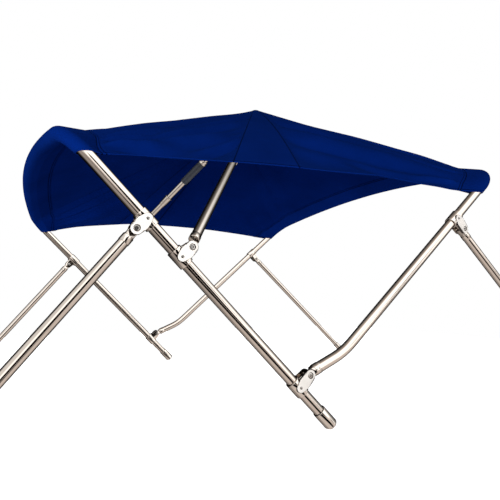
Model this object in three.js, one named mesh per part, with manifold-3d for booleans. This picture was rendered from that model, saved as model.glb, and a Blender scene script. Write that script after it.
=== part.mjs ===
// A bimini top: three bows of polished tube, four braces, the fittings that join them, and the
// cloth canopy they hold. Millimetres. X runs along the boat, Y across it and Z up. The frame is
// the same on both sides of the plane Y = 0.

import * as THREE from "three";
import { ConvexGeometry } from "three/addons/geometries/ConvexGeometry.js";
import { mergeVertices } from "three/addons/utils/BufferGeometryUtils.js";
import Module from "manifold-3d";

const wasm = await Module();
wasm.setup();

// Driving dimensions. Every angle is in degrees from +X, turning up.

const LEG_PLANE = 782; // from the centre plane to the legs, braces and hems
const BOW_RADIUS = 16; // main and second bow
const SLIM_RADIUS = 14; // middle bow and braces
const CLEARANCE = 0.3; // between pieces that touch

const MAIN_ANGLE = 134.5;
const SECOND_RUN_ANGLE = 23.3; // the short run above the second bow's hinge
const SECOND_ANGLE = 41.5;
const MIDDLE_ANGLE = 51.7;
const MAIN_BRACE_ANGLE = 230.6;
const SECOND_BRACE_ANGLE = -42.5;

// Where a jaw's bolt sits: along its leg, and off the leg's centre line.
const SECOND_HINGE = { along: 163, offset: 44.5 };
const MIDDLE_HINGE = { along: 650, offset: 36 };
const MAIN_BRACE_HINGE = { along: 776, offset: 36 };
const SECOND_BRACE_HINGE = { along: 643, offset: 44.5 };
const SECOND_RUN = { length: 140.6, bendRadius: 256, steps: 4 };

// A bow in its own plane: where the leg ends and the corner bend starts, the bend's radius, and the top.
const MAIN_ARCH = { leg: 967, bend: 102, top: 1134 };
const SECOND_ARCH = { leg: 836, bend: 120, top: 1069 };
const MIDDLE_PEAK = { lean: 37.6, bend: 185 }; // legs that lean in and meet in one round bend

const FOOT = { wall: 3, length: 63, bore: 38, rounding: 6, flatDepth: 4 };
const BRACE_FOOT = { wall: 3, length: 45, bore: 27, rounding: 6, flatDepth: 4 };

const SLIDE = { length: 50, wall: 3.7, rootHalf: 20, cheek: 3.6, endRadius: 15, edge: 1.2 };
const TONGUE = { thick: 20, endRadius: 13, neck: 16 };
const COLLAR = { from: 24, to: 44, wall: 1, edge: 1.5 };
const LEANING_COLLAR = { from: 36, to: 56 }; // of the middle bow, which leaves its jaw at an angle
const BOLT = { shank: 4, head: 8, headHeight: 5, nut: 8, nutHeight: 6 };
const SCREW = { radius: 3.6, proud: 1.8 };

// Pieces threaded on the middle bow's legs, measured from its hinge bolt.
const JOINING_SLEEVE = { from: 551, to: 607, wall: 3.4, parting: 579 };
const GRIP = { from: 718, to: 852, wall: 4.4 };
const STOP_RING = { from: 853, to: 874, wall: 7 };

const CLOTH = 2; // thickness
const SEAM_GAP = 0.6;
const POCKET = { ease: 2.6, stitched: 11, edge: 1.4 }; // the cloth folded round an end bow
const MAIN_POCKET = { hemPastBend: -14, hip: 50, atTop: 93, atHem: 39 };
const SECOND_POCKET = { hemPastBend: 36, hip: 48, atTop: 80, atHem: 66 };

// The cloth over the middle bow: its seams, and where on the bend the cloth leaves the tube.
const RIDGE = {
  gap: 2.2,
  seam: 14,
  seamGap: 0.9,
  mainDrop: 4.6,
  secondDrop: 3,
  shoulder: 24,
  hip: 38,
  bulge: 14,
};
const RIDGE_HEM = { main: -310, second: -99 };

// Height of the hem above the deck, against X.
const HEM = [
  { x: -690, port: 711, starboard: 716 },
  { x: -538, port: 720, starboard: 743 },
  { x: -349, port: 732, starboard: 768 },
  { x: -195, port: 740, starboard: 780 },
  { x: 0, port: 747, starboard: 782 },
  { x: 202, port: 755, starboard: 775 },
  { x: 358, port: 748, starboard: 765 },
  { x: 467, port: 745, starboard: 758 },
  { x: 620, port: 733, starboard: 746 },
];

const SAG = { main: 14, second: 3 }; // how far a panel dips between two bows

// The cloth's grid: rows down each half of a cross curve (crown, shoulder, flank) and columns
// along each piece.
const ROWS = [5, 4, 6];
const PANEL_COLUMNS = 10;
const RIDGE_COLUMNS = 4;

// Creases that run from bow to bow. u is -1 at the port hem and 1 at the starboard one.
const MAIN_CREASES = [
  { u: -0.9, width: 0.05, depth: 5, start: 0.6, end: 0.2 },
  { u: -0.72, width: 0.06, depth: -4, start: 0.8, end: 0.3 },
  { u: -0.5, width: 0.07, depth: 4, start: 1, end: 0.1 },
  { u: -0.2, width: 0.08, depth: 5, start: 1, end: 0.2 },
  { u: 0.14, width: 0.07, depth: 4, start: 1, end: 0.1 },
  { u: 0.42, width: 0.06, depth: 5, start: 0.9, end: 0.2 },
  { u: 0.68, width: 0.06, depth: -5, start: 0.8, end: 0.4 },
  { u: 0.9, width: 0.05, depth: 5, start: 0.7, end: 0.3 },
];
const SECOND_CREASES = [
  { u: -0.88, width: 0.05, depth: 4, start: 0.3, end: 0.8 },
  { u: -0.66, width: 0.07, depth: -5, start: 0.2, end: 1 },
  { u: -0.38, width: 0.08, depth: 4, start: 0.2, end: 0.8 },
  { u: 0.02, width: 0.09, depth: -4, start: 0.1, end: 0.9 },
  { u: 0.36, width: 0.08, depth: 4, start: 0.1, end: 1 },
  { u: 0.64, width: 0.06, depth: -5, start: 0.3, end: 0.9 },
  { u: 0.87, width: 0.05, depth: 5, start: 0.4, end: 0.8 },
];

const FACETS = { tube: 12, fitting: 12, sleeve: 20, small: 8, crown: 4, bend: 9, pocket: 9 };

const materials = {
  tube: new THREE.MeshStandardMaterial({ color: 0xd9d4cc, roughness: 0.16, metalness: 1 }),
  fitting: new THREE.MeshStandardMaterial({ color: 0xb9b1a6, roughness: 0.32, metalness: 1 }),
  bolt: new THREE.MeshStandardMaterial({ color: 0x8f8a84, roughness: 0.3, metalness: 1 }),
  grip: new THREE.MeshStandardMaterial({ color: 0x1b2029, roughness: 0.6, metalness: 0 }),
  cloth: new THREE.MeshStandardMaterial({ color: 0x081f6b, roughness: 0.9, metalness: 0 }),
};

// Small helpers

const model = new THREE.Group();
const UP = new THREE.Vector3(0, 0, 1);
const ACROSS = new THREE.Vector3(0, 1, 0);
const MIRROR = new THREE.Matrix4().makeScale(1, -1, 1); // from port to starboard
const radians = THREE.MathUtils.degToRad;
const { lerp, clamp, smoothstep } = THREE.MathUtils;

function direction(angle) {
  return new THREE.Vector3(Math.cos(radians(angle)), 0, Math.sin(radians(angle)));
}

function addMesh(name, geometry, material, place = new THREE.Matrix4()) {
  const mesh = new THREE.Mesh(geometry, material);
  mesh.name = name;
  mesh.applyMatrix4(place);
  model.add(mesh);
}

// A solid from its points and the corners of its triangles, with its faces pointing out.
function toSolid(positions, corners) {
  const triangles = [];
  for (let i = 0; i < corners.length; i += 3) {
    const [a, b, c] = [corners[i], corners[i + 1], corners[i + 2]];
    if (a !== b && b !== c && c !== a) triangles.push([a, b, c]);
  }
  const vertProperties = new Float32Array(positions);
  const build = (faces) => {
    const triVerts = new Uint32Array(faces.flat());
    return new wasm.Manifold(new wasm.Mesh({ numProp: 3, vertProperties, triVerts }));
  };
  const solid = build(triangles);
  return solid.volume() > 0 ? solid : build(triangles.map(([a, b, c]) => [a, c, b]));
}

function merged(geometry) {
  const bare = geometry.clone();
  bare.deleteAttribute("normal");
  bare.deleteAttribute("uv");
  const joined = mergeVertices(bare, 1e-3);
  return toSolid(joined.getAttribute("position").array, joined.index.array);
}

function toGeometry(solid) {
  const mesh = solid.getMesh();
  const geometry = new THREE.BufferGeometry();
  geometry.setAttribute("position", new THREE.BufferAttribute(mesh.vertProperties, 3));
  geometry.setIndex(new THREE.BufferAttribute(mesh.triVerts, 1));
  geometry.computeVertexNormals();
  return geometry;
}

// Joins the pieces into one and cuts the others out of it.
function shaped(pieces, cuts = []) {
  const [first, ...others] = pieces.map(merged);
  const whole = others.reduce((solid, other) => solid.add(other), first);
  return toGeometry(cuts.map(merged).reduce((solid, cut) => solid.subtract(cut), whole));
}

// A geometry's mirror image, with its faces turned back out.
function mirrorImage(geometry) {
  const image = geometry.clone().applyMatrix4(MIRROR);
  const { index } = image;
  for (let i = 0; i < index.count; i += 3) {
    const second = index.getX(i + 1);
    index.setX(i + 1, index.getX(i + 2));
    index.setX(i + 2, second);
  }
  image.computeVertexNormals();
  return image;
}

// A piece on the port side and its mirror image to starboard.
function addPair(name, geometry, material, place = new THREE.Matrix4()) {
  const opposite = MIRROR.clone().multiply(place).multiply(MIRROR);
  addMesh(`${name}_port`, geometry, material, place);
  addMesh(`${name}_starboard`, mirrorImage(geometry), material, opposite);
}

// Points of an arc, in degrees, both ends included.
function arc(x, y, radius, from, to, steps) {
  return Array.from({ length: steps + 1 }, (_, i) => {
    const angle = radians(lerp(from, to, i / steps));
    return [x + radius * Math.cos(angle), y + radius * Math.sin(angle)];
  });
}

// The radius of a faceted bore whose flats still clear a round piece.
const boreRound = (radius, sides) => (radius + CLEARANCE) / Math.cos(Math.PI / sides);

const circle = (x, y, radius, steps) => arc(x, y, radius, 0, 360, steps).slice(1);

const toVectors = (points) => points.map(([x, y]) => new THREE.Vector2(x, y));

// A round piece about local Z from a profile of [radius, height] points, closed on itself.
function turned(profile, sides) {
  return new THREE.LatheGeometry(toVectors([...profile, profile[0]]), sides).rotateX(Math.PI / 2);
}

// A round bar about local Z between two heights.
function bar(radius, from, to, sides) {
  return turned([[0, from], [radius, from], [radius, to], [0, to]], sides);
}

// A plate that stands in local XZ, with its thickness along local Y and any holes right through.
function plate([outline, ...holes], from, to) {
  const shape = new THREE.Shape(toVectors(outline));
  shape.holes = holes.map((hole) => new THREE.Path(toVectors(hole)));
  const geometry = new THREE.ExtrudeGeometry(shape, { depth: to - from, bevelEnabled: false });
  return geometry.rotateX(Math.PI / 2).translate(0, to, 0);
}

// A place at a point, with local X along a direction in the XZ plane and local Y across the boat.
function facing(origin, x) {
  const z = new THREE.Vector3().crossVectors(x, ACROSS);
  return new THREE.Matrix4().makeBasis(x, ACROSS, z).setPosition(origin);
}

// A place at a point, with local Z along a direction.
function standing(origin, z) {
  const turn = new THREE.Quaternion().setFromUnitVectors(UP, z);
  return new THREE.Matrix4().compose(origin, turn, new THREE.Vector3(1, 1, 1));
}

// A curve with a step at each of its stations.
class Route extends THREE.Curve {
  constructor(stations) {
    super();
    this.stations = stations;
  }
  station(u) {
    return this.stations[Math.round(u * (this.stations.length - 1))];
  }
  getPointAt(u, target = new THREE.Vector3()) {
    return target.copy(this.station(u).point);
  }
  getTangentAt(u, target = new THREE.Vector3()) {
    return target.copy(this.station(u).tangent);
  }
}

function tube(stations, radius) {
  const section = new THREE.Shape().absarc(0, 0, radius, 0, Math.PI * 2);
  const extrudePath = new Route(stations);
  const options = { steps: stations.length - 1, extrudePath, curveSegments: FACETS.tube / 2 };
  return new THREE.ExtrudeGeometry(section, options);
}

function straightTube(start, end, radius) {
  const tangent = end.clone().sub(start).normalize();
  return tube([{ point: start, tangent }, { point: end, tangent }], radius);
}

// Bows. Each lies in a plane through the Y direction and is described from its top down: arcs,
// then a straight leg.

class Bow {
  constructor(base, angle, top, arcs, legLength) {
    this.base = base.clone().setY(0);
    this.up = direction(angle);
    this.top = top;
    this.arcs = arcs;
    this.arcLength = arcs.reduce((sum, { radius, turn }) => sum + radius * turn, 0);
    this.hinge = this.arcLength + legLength;
  }

  // Point and tangent at a signed distance from the top, negative to port.
  at(distance) {
    const side = distance < 0 ? -1 : 1;
    let rest = Math.abs(distance);
    let angle = 0;
    let y = 0;
    let height = this.top;
    for (const { radius, turn } of this.arcs) {
      const length = Math.min(rest, radius * turn);
      const next = angle + length / radius;
      y += radius * (Math.sin(next) - Math.sin(angle));
      height -= radius * (Math.cos(angle) - Math.cos(next));
      angle = next;
      rest -= length;
    }
    y += rest * Math.cos(angle);
    height -= rest * Math.sin(angle);
    return {
      point: this.base.clone().addScaledVector(this.up, height).setY(side * y),
      tangent: new THREE.Vector3(0, Math.cos(angle), 0).addScaledVector(this.up, -side * Math.sin(angle)),
    };
  }

  // Stations between two distances: both ends, and even steps along each arc between them.
  stations(from, to) {
    const marks = [from, to, 0];
    let passed = 0;
    for (const { radius, turn, steps } of this.arcs) {
      for (let i = 1; i <= steps; i += 1) {
        const mark = passed + (radius * turn * i) / steps;
        marks.push(mark, -mark);
      }
      passed += radius * turn;
    }
    const inside = marks.filter((mark) => mark >= from && mark <= to).sort((a, b) => a - b);
    return inside.map((mark) => this.at(mark));
  }
}

// An arch: a shallow crown that runs smoothly into a corner bend over each upright leg.
function archedBow(base, angle, { leg, bend, top }) {
  const reach = LEG_PLANE - bend;
  const rise = top - leg;
  const crown = (reach ** 2 + rise ** 2 - bend ** 2) / (2 * (rise - bend));
  const crownTurn = Math.asin(reach / (crown - bend));
  const arcs = [
    { radius: crown, turn: crownTurn, steps: FACETS.crown },
    { radius: bend, turn: Math.PI / 2 - crownTurn, steps: FACETS.bend },
  ];
  return new Bow(base, angle, top, arcs, leg);
}

// A peak: two leaning legs joined by one round bend.
function peakedBow(base, angle, { lean, bend }) {
  const slope = radians(lean);
  const legLength = (LEG_PLANE - bend * Math.cos(slope)) / Math.sin(slope);
  const top = legLength * Math.cos(slope) + bend * (1 - Math.sin(slope));
  const arcs = [{ radius: bend, turn: Math.PI / 2 - slope, steps: FACETS.bend }];
  return new Bow(base, angle, top, arcs, legLength);
}

// The height of the centre of a foot's end when its rounded edge is cut flat on the deck.
function footHeight(radius, foot, angle) {
  const flat = radius + foot.wall - foot.rounding;
  const lean = Math.abs(Math.cos(radians(angle)));
  const rise = Math.abs(Math.sin(radians(angle)));
  return flat * lean + foot.rounding * (1 - rise) - foot.flatDepth;
}

function jawPoint(base, leg, jaw, { along, offset }) {
  return base.clone().addScaledVector(leg, along).addScaledVector(jaw, offset);
}

const mainBase = new THREE.Vector3(0, -LEG_PLANE, footHeight(BOW_RADIUS, FOOT, MAIN_ANGLE));
const mainLeg = direction(MAIN_ANGLE);
const mainInner = direction(MAIN_ANGLE - 90);
const mainOuter = direction(MAIN_ANGLE + 90);
const secondHinge = jawPoint(mainBase, mainLeg, mainInner, SECOND_HINGE);
const middleHinge = jawPoint(mainBase, mainLeg, mainInner, MIDDLE_HINGE);
const mainBraceHinge = jawPoint(mainBase, mainLeg, mainOuter, MAIN_BRACE_HINGE);

const secondRun = direction(SECOND_RUN_ANGLE);
const secondLeg = direction(SECOND_ANGLE);
const secondOuter = direction(SECOND_ANGLE - 90);
const secondBase = secondHinge.clone().addScaledVector(secondRun, SECOND_RUN.length);
const secondBraceHinge = jawPoint(secondBase, secondLeg, secondOuter, SECOND_BRACE_HINGE);

const mainBow = archedBow(mainBase, MAIN_ANGLE, MAIN_ARCH);
const secondBow = archedBow(secondBase, SECOND_ANGLE, SECOND_ARCH);
const middleBow = peakedBow(middleHinge, MIDDLE_ANGLE, MIDDLE_PEAK);

// Tubes

// The second bow's short run and its bend on the port side, from the hinge up.
function secondRunStations() {
  const turn = SECOND_ANGLE - SECOND_RUN_ANGLE;
  const { bendRadius, steps } = SECOND_RUN;
  const setback = bendRadius * Math.tan(radians(turn / 2));
  const bendStart = secondBase.clone().addScaledVector(secondRun, -setback);
  const centre = bendStart.clone().addScaledVector(direction(SECOND_RUN_ANGLE + 90), bendRadius);
  const start = secondHinge.clone().addScaledVector(secondRun, COLLAR.to + CLEARANCE);
  const stations = [{ point: start, tangent: secondRun }];
  for (let i = 0; i <= steps; i += 1) {
    const angle = SECOND_RUN_ANGLE + (turn * i) / steps;
    const point = centre.clone().addScaledVector(direction(angle - 90), bendRadius);
    stations.push({ point, tangent: direction(angle) });
  }
  return stations;
}

function mirrored({ point, tangent }) {
  return { point: point.clone().setY(-point.y), tangent: tangent.clone().negate().setY(tangent.y) };
}

function secondBowTube() {
  const port = secondRunStations();
  const arch = secondBow.stations(-secondBow.arcLength, secondBow.arcLength);
  return tube([...port, ...arch, ...port.map(mirrored).reverse()], BOW_RADIUS);
}

const mainFootMark = mainBow.hinge - (FOOT.length - FOOT.bore + CLEARANCE);
addMesh("main_bow", tube(mainBow.stations(-mainFootMark, mainFootMark), BOW_RADIUS), materials.tube);
addMesh("second_bow", secondBowTube(), materials.tube);

// The middle bow is a bent top and two legs that meet inside joining sleeves.
const parting = middleBow.hinge - JOINING_SLEEVE.parting;
const middleLegStart = middleBow.hinge - LEANING_COLLAR.to - CLEARANCE;
const topMark = parting - CLEARANCE / 2;
addMesh("middle_bow_top", tube(middleBow.stations(-topMark, topMark), SLIM_RADIUS), materials.tube);
const middleLeg = middleBow.stations(-middleLegStart, -parting - CLEARANCE / 2);
addPair("middle_bow_leg", shaped([tube(middleLeg, SLIM_RADIUS)]), materials.tube);

// Pieces threaded on the middle bow

function addThreaded(name, { from, to, wall }, edge, material) {
  const bore = boreRound(SLIM_RADIUS, FACETS.fitting);
  const outer = bore + wall;
  const length = to - from;
  const rim = [[outer - edge, 0], [outer, edge], [outer, length - edge], [outer - edge, length]];
  const sleeve = shaped([turned([[bore, 0], ...rim, [bore, length]], FACETS.fitting)]);
  const { point, tangent } = middleBow.at(from - middleBow.hinge);
  addPair(name, sleeve, material, standing(point, tangent));
}

addThreaded("joining_sleeve", JOINING_SLEEVE, 1, materials.fitting);
addThreaded("grip_sleeve", GRIP, 1.5, materials.grip);
addThreaded("stop_ring", STOP_RING, 2.5, materials.fitting);

// Feet: a cup over the tube's end, round at its edge and cut flat where it stands.

function footCup(radius, { wall, length, bore, rounding }) {
  const outer = radius + wall;
  const inner = boreRound(radius, FACETS.fitting);
  const round = arc(outer - rounding, rounding, rounding, -90, 0, 3);
  const lip = [[outer, length - 1.5], [outer - 1.5, length], [inner, length], [inner, length - bore]];
  return turned([[0, 0], ...round, ...lip, [0, length - bore]], FACETS.fitting);
}

function addFoot(name, end, along, radius, foot) {
  const cup = footCup(radius, foot).applyMatrix4(standing(end, along));
  const room = 2 * foot.length;
  const belowDeck = new THREE.BoxGeometry(room, room, room).translate(end.x, end.y, -room / 2);
  addPair(name, shaped([cup], [belowDeck]), materials.fitting);
}

function addBrace(name, hinge, angle) {
  const down = direction(angle);
  const drop = hinge.z - footHeight(SLIM_RADIUS, BRACE_FOOT, angle);
  const end = hinge.clone().addScaledVector(down, -drop / down.z);
  const start = hinge.clone().addScaledVector(down, COLLAR.to + CLEARANCE);
  const stop = end.clone().addScaledVector(down, -(BRACE_FOOT.length - BRACE_FOOT.bore + CLEARANCE));
  addPair(name, shaped([straightTube(start, stop, SLIM_RADIUS)]), materials.tube);
  addFoot(`${name}_foot`, end, down.negate(), SLIM_RADIUS, BRACE_FOOT);
}

addFoot("main_bow_foot", mainBase, mainLeg, BOW_RADIUS, FOOT);
addBrace("main_brace", mainBraceHinge, MAIN_BRACE_ANGLE);
addBrace("second_brace", secondBraceHinge, SECOND_BRACE_ANGLE);

// Jaw slides: a sleeve round the leg with two cheeks, which hold an eye end on a bolt. Local X
// points from the leg to the bolt.

const jawHalf = TONGUE.thick / 2 + CLEARANCE; // from the middle of the jaw to a cheek's inside
const boltHole = circle(0, 0, boreRound(BOLT.shank, FACETS.small), FACETS.small);

function jawSlide(offset) {
  const bore = boreRound(BOW_RADIUS, FACETS.sleeve);
  const outer = bore + SLIDE.wall;
  const half = SLIDE.length / 2;
  const { edge } = SLIDE;
  const rim = [[outer - edge, -half], [outer, edge - half], [outer, half - edge], [outer - edge, half]];
  const sleeve = turned([[bore, -half], ...rim, [bore, half]], FACETS.sleeve);
  const root = Math.sqrt(bore ** 2 - jawHalf ** 2) + 0.8 - offset;
  const end = arc(0, 0, SLIDE.endRadius, -80, 80, 8);
  const cheek = [[[root, -SLIDE.rootHalf], ...end, [root, SLIDE.rootHalf]], boltHole];
  const sides = [-jawHalf - SLIDE.cheek, jawHalf];
  const cheeks = sides.map((from) => plate(cheek, from, from + SLIDE.cheek));
  const screwRoom = circle(-offset, 0, boreRound(SCREW.radius, FACETS.small), FACETS.small);
  const screwHole = plate([screwRoom], -outer, 0);
  const legRoom = bar(bore, -2 * half, 2 * half, FACETS.sleeve).translate(-offset, 0, 0);
  return shaped([sleeve.translate(-offset, 0, 0), ...cheeks], [legRoom, screwHole]);
}

function pointsOf(geometry) {
  const positions = geometry.getAttribute("position");
  return Array.from({ length: positions.count }, (_, i) => {
    return new THREE.Vector3().fromBufferAttribute(positions, i);
  });
}

// An eye end: a tongue in the jaw and a collar against the tube. The collar can lean out of the
// tongue's plane, and a tapered throat joins the two.
function eyeEnd(radius, { from, to }, lean) {
  const half = TONGUE.thick / 2;
  const shoulder = TONGUE.endRadius - 1;
  const round = arc(0, 0, TONGUE.endRadius, 90, 270, 8);
  const tongue = plate([[...round, [TONGUE.neck, -shoulder], [TONGUE.neck, shoulder]]], -half, half);
  const outer = radius + COLLAR.wall;
  const { edge } = COLLAR;
  const length = to - from;
  const leaning = new THREE.Vector3(Math.cos(radians(lean)), Math.sin(radians(lean)), 0);
  const seat = standing(leaning.clone().multiplyScalar(from), leaning);
  const rim = [[outer - edge, 0], [outer, edge], [outer, length - 0.6], [outer - 0.6, length]];
  const collar = turned([[0, 0], ...rim, [0, length]], FACETS.fitting).applyMatrix4(seat);
  const collarFoot = bar(outer - edge, 0, 0.5, FACETS.fitting).applyMatrix4(seat);
  const tongueTop = new THREE.BoxGeometry(0.5, TONGUE.thick, 2 * shoulder);
  tongueTop.translate(TONGUE.neck - 0.25, 0, 0);
  const throat = new ConvexGeometry([...pointsOf(tongueTop), ...pointsOf(collarFoot)]);
  return shaped([tongue, throat, collar], [plate([boltHole], -TONGUE.thick, TONGUE.thick)]);
}

// A pivot bolt with its domed head to port and its nut to starboard.
function pivotBolt() {
  const outside = jawHalf + SLIDE.cheek + CLEARANCE;
  const { head, headHeight } = BOLT;
  const dome = [[head, 0], [head, 2], [head * 0.75, headHeight - 0.8], [head * 0.35, headHeight]];
  const cap = turned([[0, 0], ...dome, [0, headHeight]], FACETS.fitting);
  cap.rotateX(Math.PI / 2).translate(0, -outside, 0);
  const shank = plate([circle(0, 0, BOLT.shank, FACETS.small)], -outside, outside);
  const nut = plate([circle(0, 0, BOLT.nut, 6)], outside, outside + BOLT.nutHeight);
  return shaped([cap, shank, nut]);
}

// A set screw in the side of a slide, with a dimple in its end.
function setScrew() {
  const bottom = BOW_RADIUS + 2 * CLEARANCE;
  const top = BOW_RADIUS + CLEARANCE + SLIDE.wall + SCREW.proud;
  const { radius } = SCREW;
  const dimple = radius * 0.45;
  const rim = [[radius, bottom], [radius, top - 0.6], [radius - 0.6, top]];
  const profile = [[0, bottom], ...rim, [dimple, top], [dimple, top - 1.4], [0, top - 1.4]];
  return shaped([turned(profile, FACETS.small).rotateX(Math.PI / 2)]);
}

function addJoint(name, hinge, jaw, offset, eye, eyeDirection) {
  const onLeg = hinge.clone().addScaledVector(jaw, -offset);
  addPair(`${name}_slide`, jawSlide(offset), materials.fitting, facing(hinge, jaw));
  addPair(`${name}_eye`, eye, materials.fitting, facing(hinge, eyeDirection));
  addPair(`${name}_bolt`, pivotBolt(), materials.bolt, facing(hinge, jaw));
  addPair(`${name}_screw`, setScrew(), materials.bolt, facing(onLeg, jaw));
}

const bowEye = eyeEnd(BOW_RADIUS, COLLAR, 0);
const slimEye = eyeEnd(SLIM_RADIUS, COLLAR, 0);
const middleEye = eyeEnd(SLIM_RADIUS, LEANING_COLLAR, MIDDLE_PEAK.lean);
const middleUp = direction(MIDDLE_ANGLE);
const mainBraceDown = direction(MAIN_BRACE_ANGLE);
const secondBraceDown = direction(SECOND_BRACE_ANGLE);
addJoint("second_bow", secondHinge, mainInner, SECOND_HINGE.offset, bowEye, secondRun);
addJoint("middle_bow", middleHinge, mainInner, MIDDLE_HINGE.offset, middleEye, middleUp);
addJoint("main_brace", mainBraceHinge, mainOuter, MAIN_BRACE_HINGE.offset, slimEye, mainBraceDown);
const { offset: secondBraceOffset } = SECOND_BRACE_HINGE;
addJoint("second_brace", secondBraceHinge, secondOuter, secondBraceOffset, slimEye, secondBraceDown);

// Canopy. Every cross curve has the same rows, so that straight lines of cloth run from bow to bow.

const HALF_ROWS = ROWS.reduce((sum, count) => sum + count, 0);
const rows = [];
for (let index = -HALF_ROWS; index <= HALF_ROWS; index += 1) {
  let part = 0;
  let rest = Math.abs(index);
  while (part < ROWS.length - 1 && rest > ROWS[part]) {
    rest -= ROWS[part];
    part += 1;
  }
  rows.push({ side: index < 0 ? -1 : 1, part, share: rest / ROWS[part], u: index / HALF_ROWS });
}

// The same row on a bow, from its distances at the top, the shoulder, the hip and the hem.
function onBow(bow, marks, { side, part, share }) {
  return bow.at(side * lerp(marks[part], marks[part + 1], share));
}

// The height of the hem at a place along the boat.
function hemHeight(x, side) {
  const key = side < 0 ? "port" : "starboard";
  const after = clamp(HEM.findIndex((mark) => mark.x > x), 1, HEM.length - 1);
  const [a, b] = [HEM[after - 1], HEM[after]];
  return lerp(a[key], b[key], clamp((x - a.x) / (b.x - a.x), 0, 1));
}

function hemPoint(x, side) {
  return new THREE.Vector3(x, side * LEG_PLANE, hemHeight(x, side));
}

// The ridge at one row: the seam on the main bow's side, the line over the tube, and the other seam.
function overTube(distance) {
  const { point, tangent } = middleBow.at(distance);
  const normal = UP.clone().addScaledVector(tangent, -tangent.z).normalize();
  const along = new THREE.Vector3().crossVectors(tangent, normal);
  const middle = point.addScaledVector(normal, SLIM_RADIUS + RIDGE.gap + CLOTH / 2);
  const seam = (offset, drop) => {
    return middle.clone().addScaledVector(along, offset).addScaledVector(normal, -drop);
  };
  return [seam(-RIDGE.seam, RIDGE.mainDrop), middle, seam(RIDGE.seam, RIDGE.secondDrop)];
}

function ridgeAt(row) {
  const bend = MIDDLE_PEAK.bend;
  const marks = [0, bend * radians(RIDGE.shoulder), bend * radians(RIDGE.hip)];
  if (row.part < 2) return overTube(row.side * lerp(marks[row.part], marks[row.part + 1], row.share));
  const hip = overTube(row.side * marks[2]);
  const places = [RIDGE_HEM.main, (RIDGE_HEM.main + RIDGE_HEM.second) / 2, RIDGE_HEM.second];
  const hem = places.map((x) => hemPoint(x, row.side));
  const bulge = RIDGE.bulge * Math.sin(Math.PI * row.share);
  const outward = new THREE.Vector3(0, row.side * Math.SQRT1_2, Math.SQRT1_2);
  return hip.map((point, i) => point.lerp(hem[i], row.share).addScaledVector(outward, bulge));
}

// The pocket round an end bow at one row: its frame, and how far its seam is from the tube.
function pocketAt(bow, pocket, row, toward) {
  const [crown, corner] = bow.arcs;
  const shoulder = crown.radius * crown.turn;
  const hip = shoulder + corner.radius * (radians(pocket.hip) - crown.turn);
  const marks = [0, shoulder, hip, bow.arcLength + pocket.hemPastBend];
  const { point, tangent } = onBow(bow, marks, row);
  const pull = toward.clone().sub(point);
  const slip = pull.dot(tangent);
  const inward = pull.clone().addScaledVector(tangent, -slip);
  const shear = slip / inward.length();
  inward.normalize();
  const flank = row.part === 2 ? row.share : 0;
  const outSign = inward.x > 0 ? -1 : 1;
  return {
    point,
    normal: new THREE.Vector3().crossVectors(tangent, inward).multiplyScalar(outSign),
    line: inward.clone().addScaledVector(tangent, shear),
    width: lerp(pocket.atTop, pocket.atHem, smoothstep(flank, 0, 1)),
  };
}

const ridge = rows.map(ridgeAt);
const mainPocket = rows.map((row, i) => pocketAt(mainBow, MAIN_POCKET, row, ridge[i][0]));
const secondPocket = rows.map((row, i) => pocketAt(secondBow, SECOND_POCKET, row, ridge[i][2]));

// The outline of a pocket across its bow: round the tube, then two layers that meet at the seam.
function pocketOutline(radius, tip, tipHalf, steps) {
  const reach = Math.hypot(tip, tipHalf);
  const tangentAngle = THREE.MathUtils.radToDeg(Math.acos(radius / reach) + Math.atan2(tipHalf, tip));
  return arc(0, 0, radius, tangentAngle, 360 - tangentAngle, steps);
}

function pocketSection({ point, normal, line, width }) {
  const stitch = width - POCKET.stitched;
  const end = width - SEAM_GAP / 2;
  const inner = BOW_RADIUS + POCKET.ease;
  const outline = pocketOutline(inner + CLOTH, stitch, CLOTH + 0.2, FACETS.pocket);
  const half = CLOTH + 0.2;
  const lap = [[end, -POCKET.edge], [end, POCKET.edge]];
  const contour = [[stitch, half], ...outline, [stitch, -half], ...lap];
  const hole = [...pocketOutline(inner, stitch, 0, FACETS.pocket - 2), [stitch, 0]];
  const place = ([along, out]) => point.clone().addScaledVector(line, along).addScaledVector(normal, out);
  return { contour, hole, contourPoints: contour.map(place), holePoints: hole.map(place) };
}

class MeshBuilder {
  constructor() {
    this.positions = [];
    this.triangles = [];
  }
  add(points) {
    const first = this.positions.length;
    this.positions.push(...points);
    return points.map((_, i) => first + i);
  }
  // A wall between two rows of points; a closed row joins its last point to its first.
  wall(a, b, closed) {
    const count = closed ? a.length : a.length - 1;
    for (let i = 0; i < count; i += 1) {
      const next = (i + 1) % a.length;
      this.triangles.push([a[i], a[next], b[next]], [a[i], b[next], b[i]]);
    }
  }
  geometry() {
    const positions = this.positions.flatMap((point) => point.toArray());
    return toGeometry(toSolid(positions, this.triangles.flat()));
  }
}

function pocketCloth(pocket) {
  const builder = new MeshBuilder();
  const sections = pocket.map(pocketSection);
  const contours = sections.map(({ contourPoints }) => builder.add(contourPoints));
  const holes = sections.map(({ holePoints }) => builder.add(holePoints));
  for (let i = 1; i < sections.length; i += 1) {
    builder.wall(contours[i - 1], contours[i], true);
    builder.wall(holes[i], holes[i - 1], true);
  }
  for (const end of [0, sections.length - 1]) {
    const { contour, hole } = sections[end];
    const ids = [...contours[end], ...holes[end]];
    for (const face of THREE.ShapeUtils.triangulateShape(toVectors(contour), [toVectors(hole)])) {
      const [a, b, c] = face.map((corner) => ids[corner]);
      builder.triangles.push(end === 0 ? [a, c, b] : [a, b, c]);
    }
  }
  return builder.geometry();
}

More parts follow.
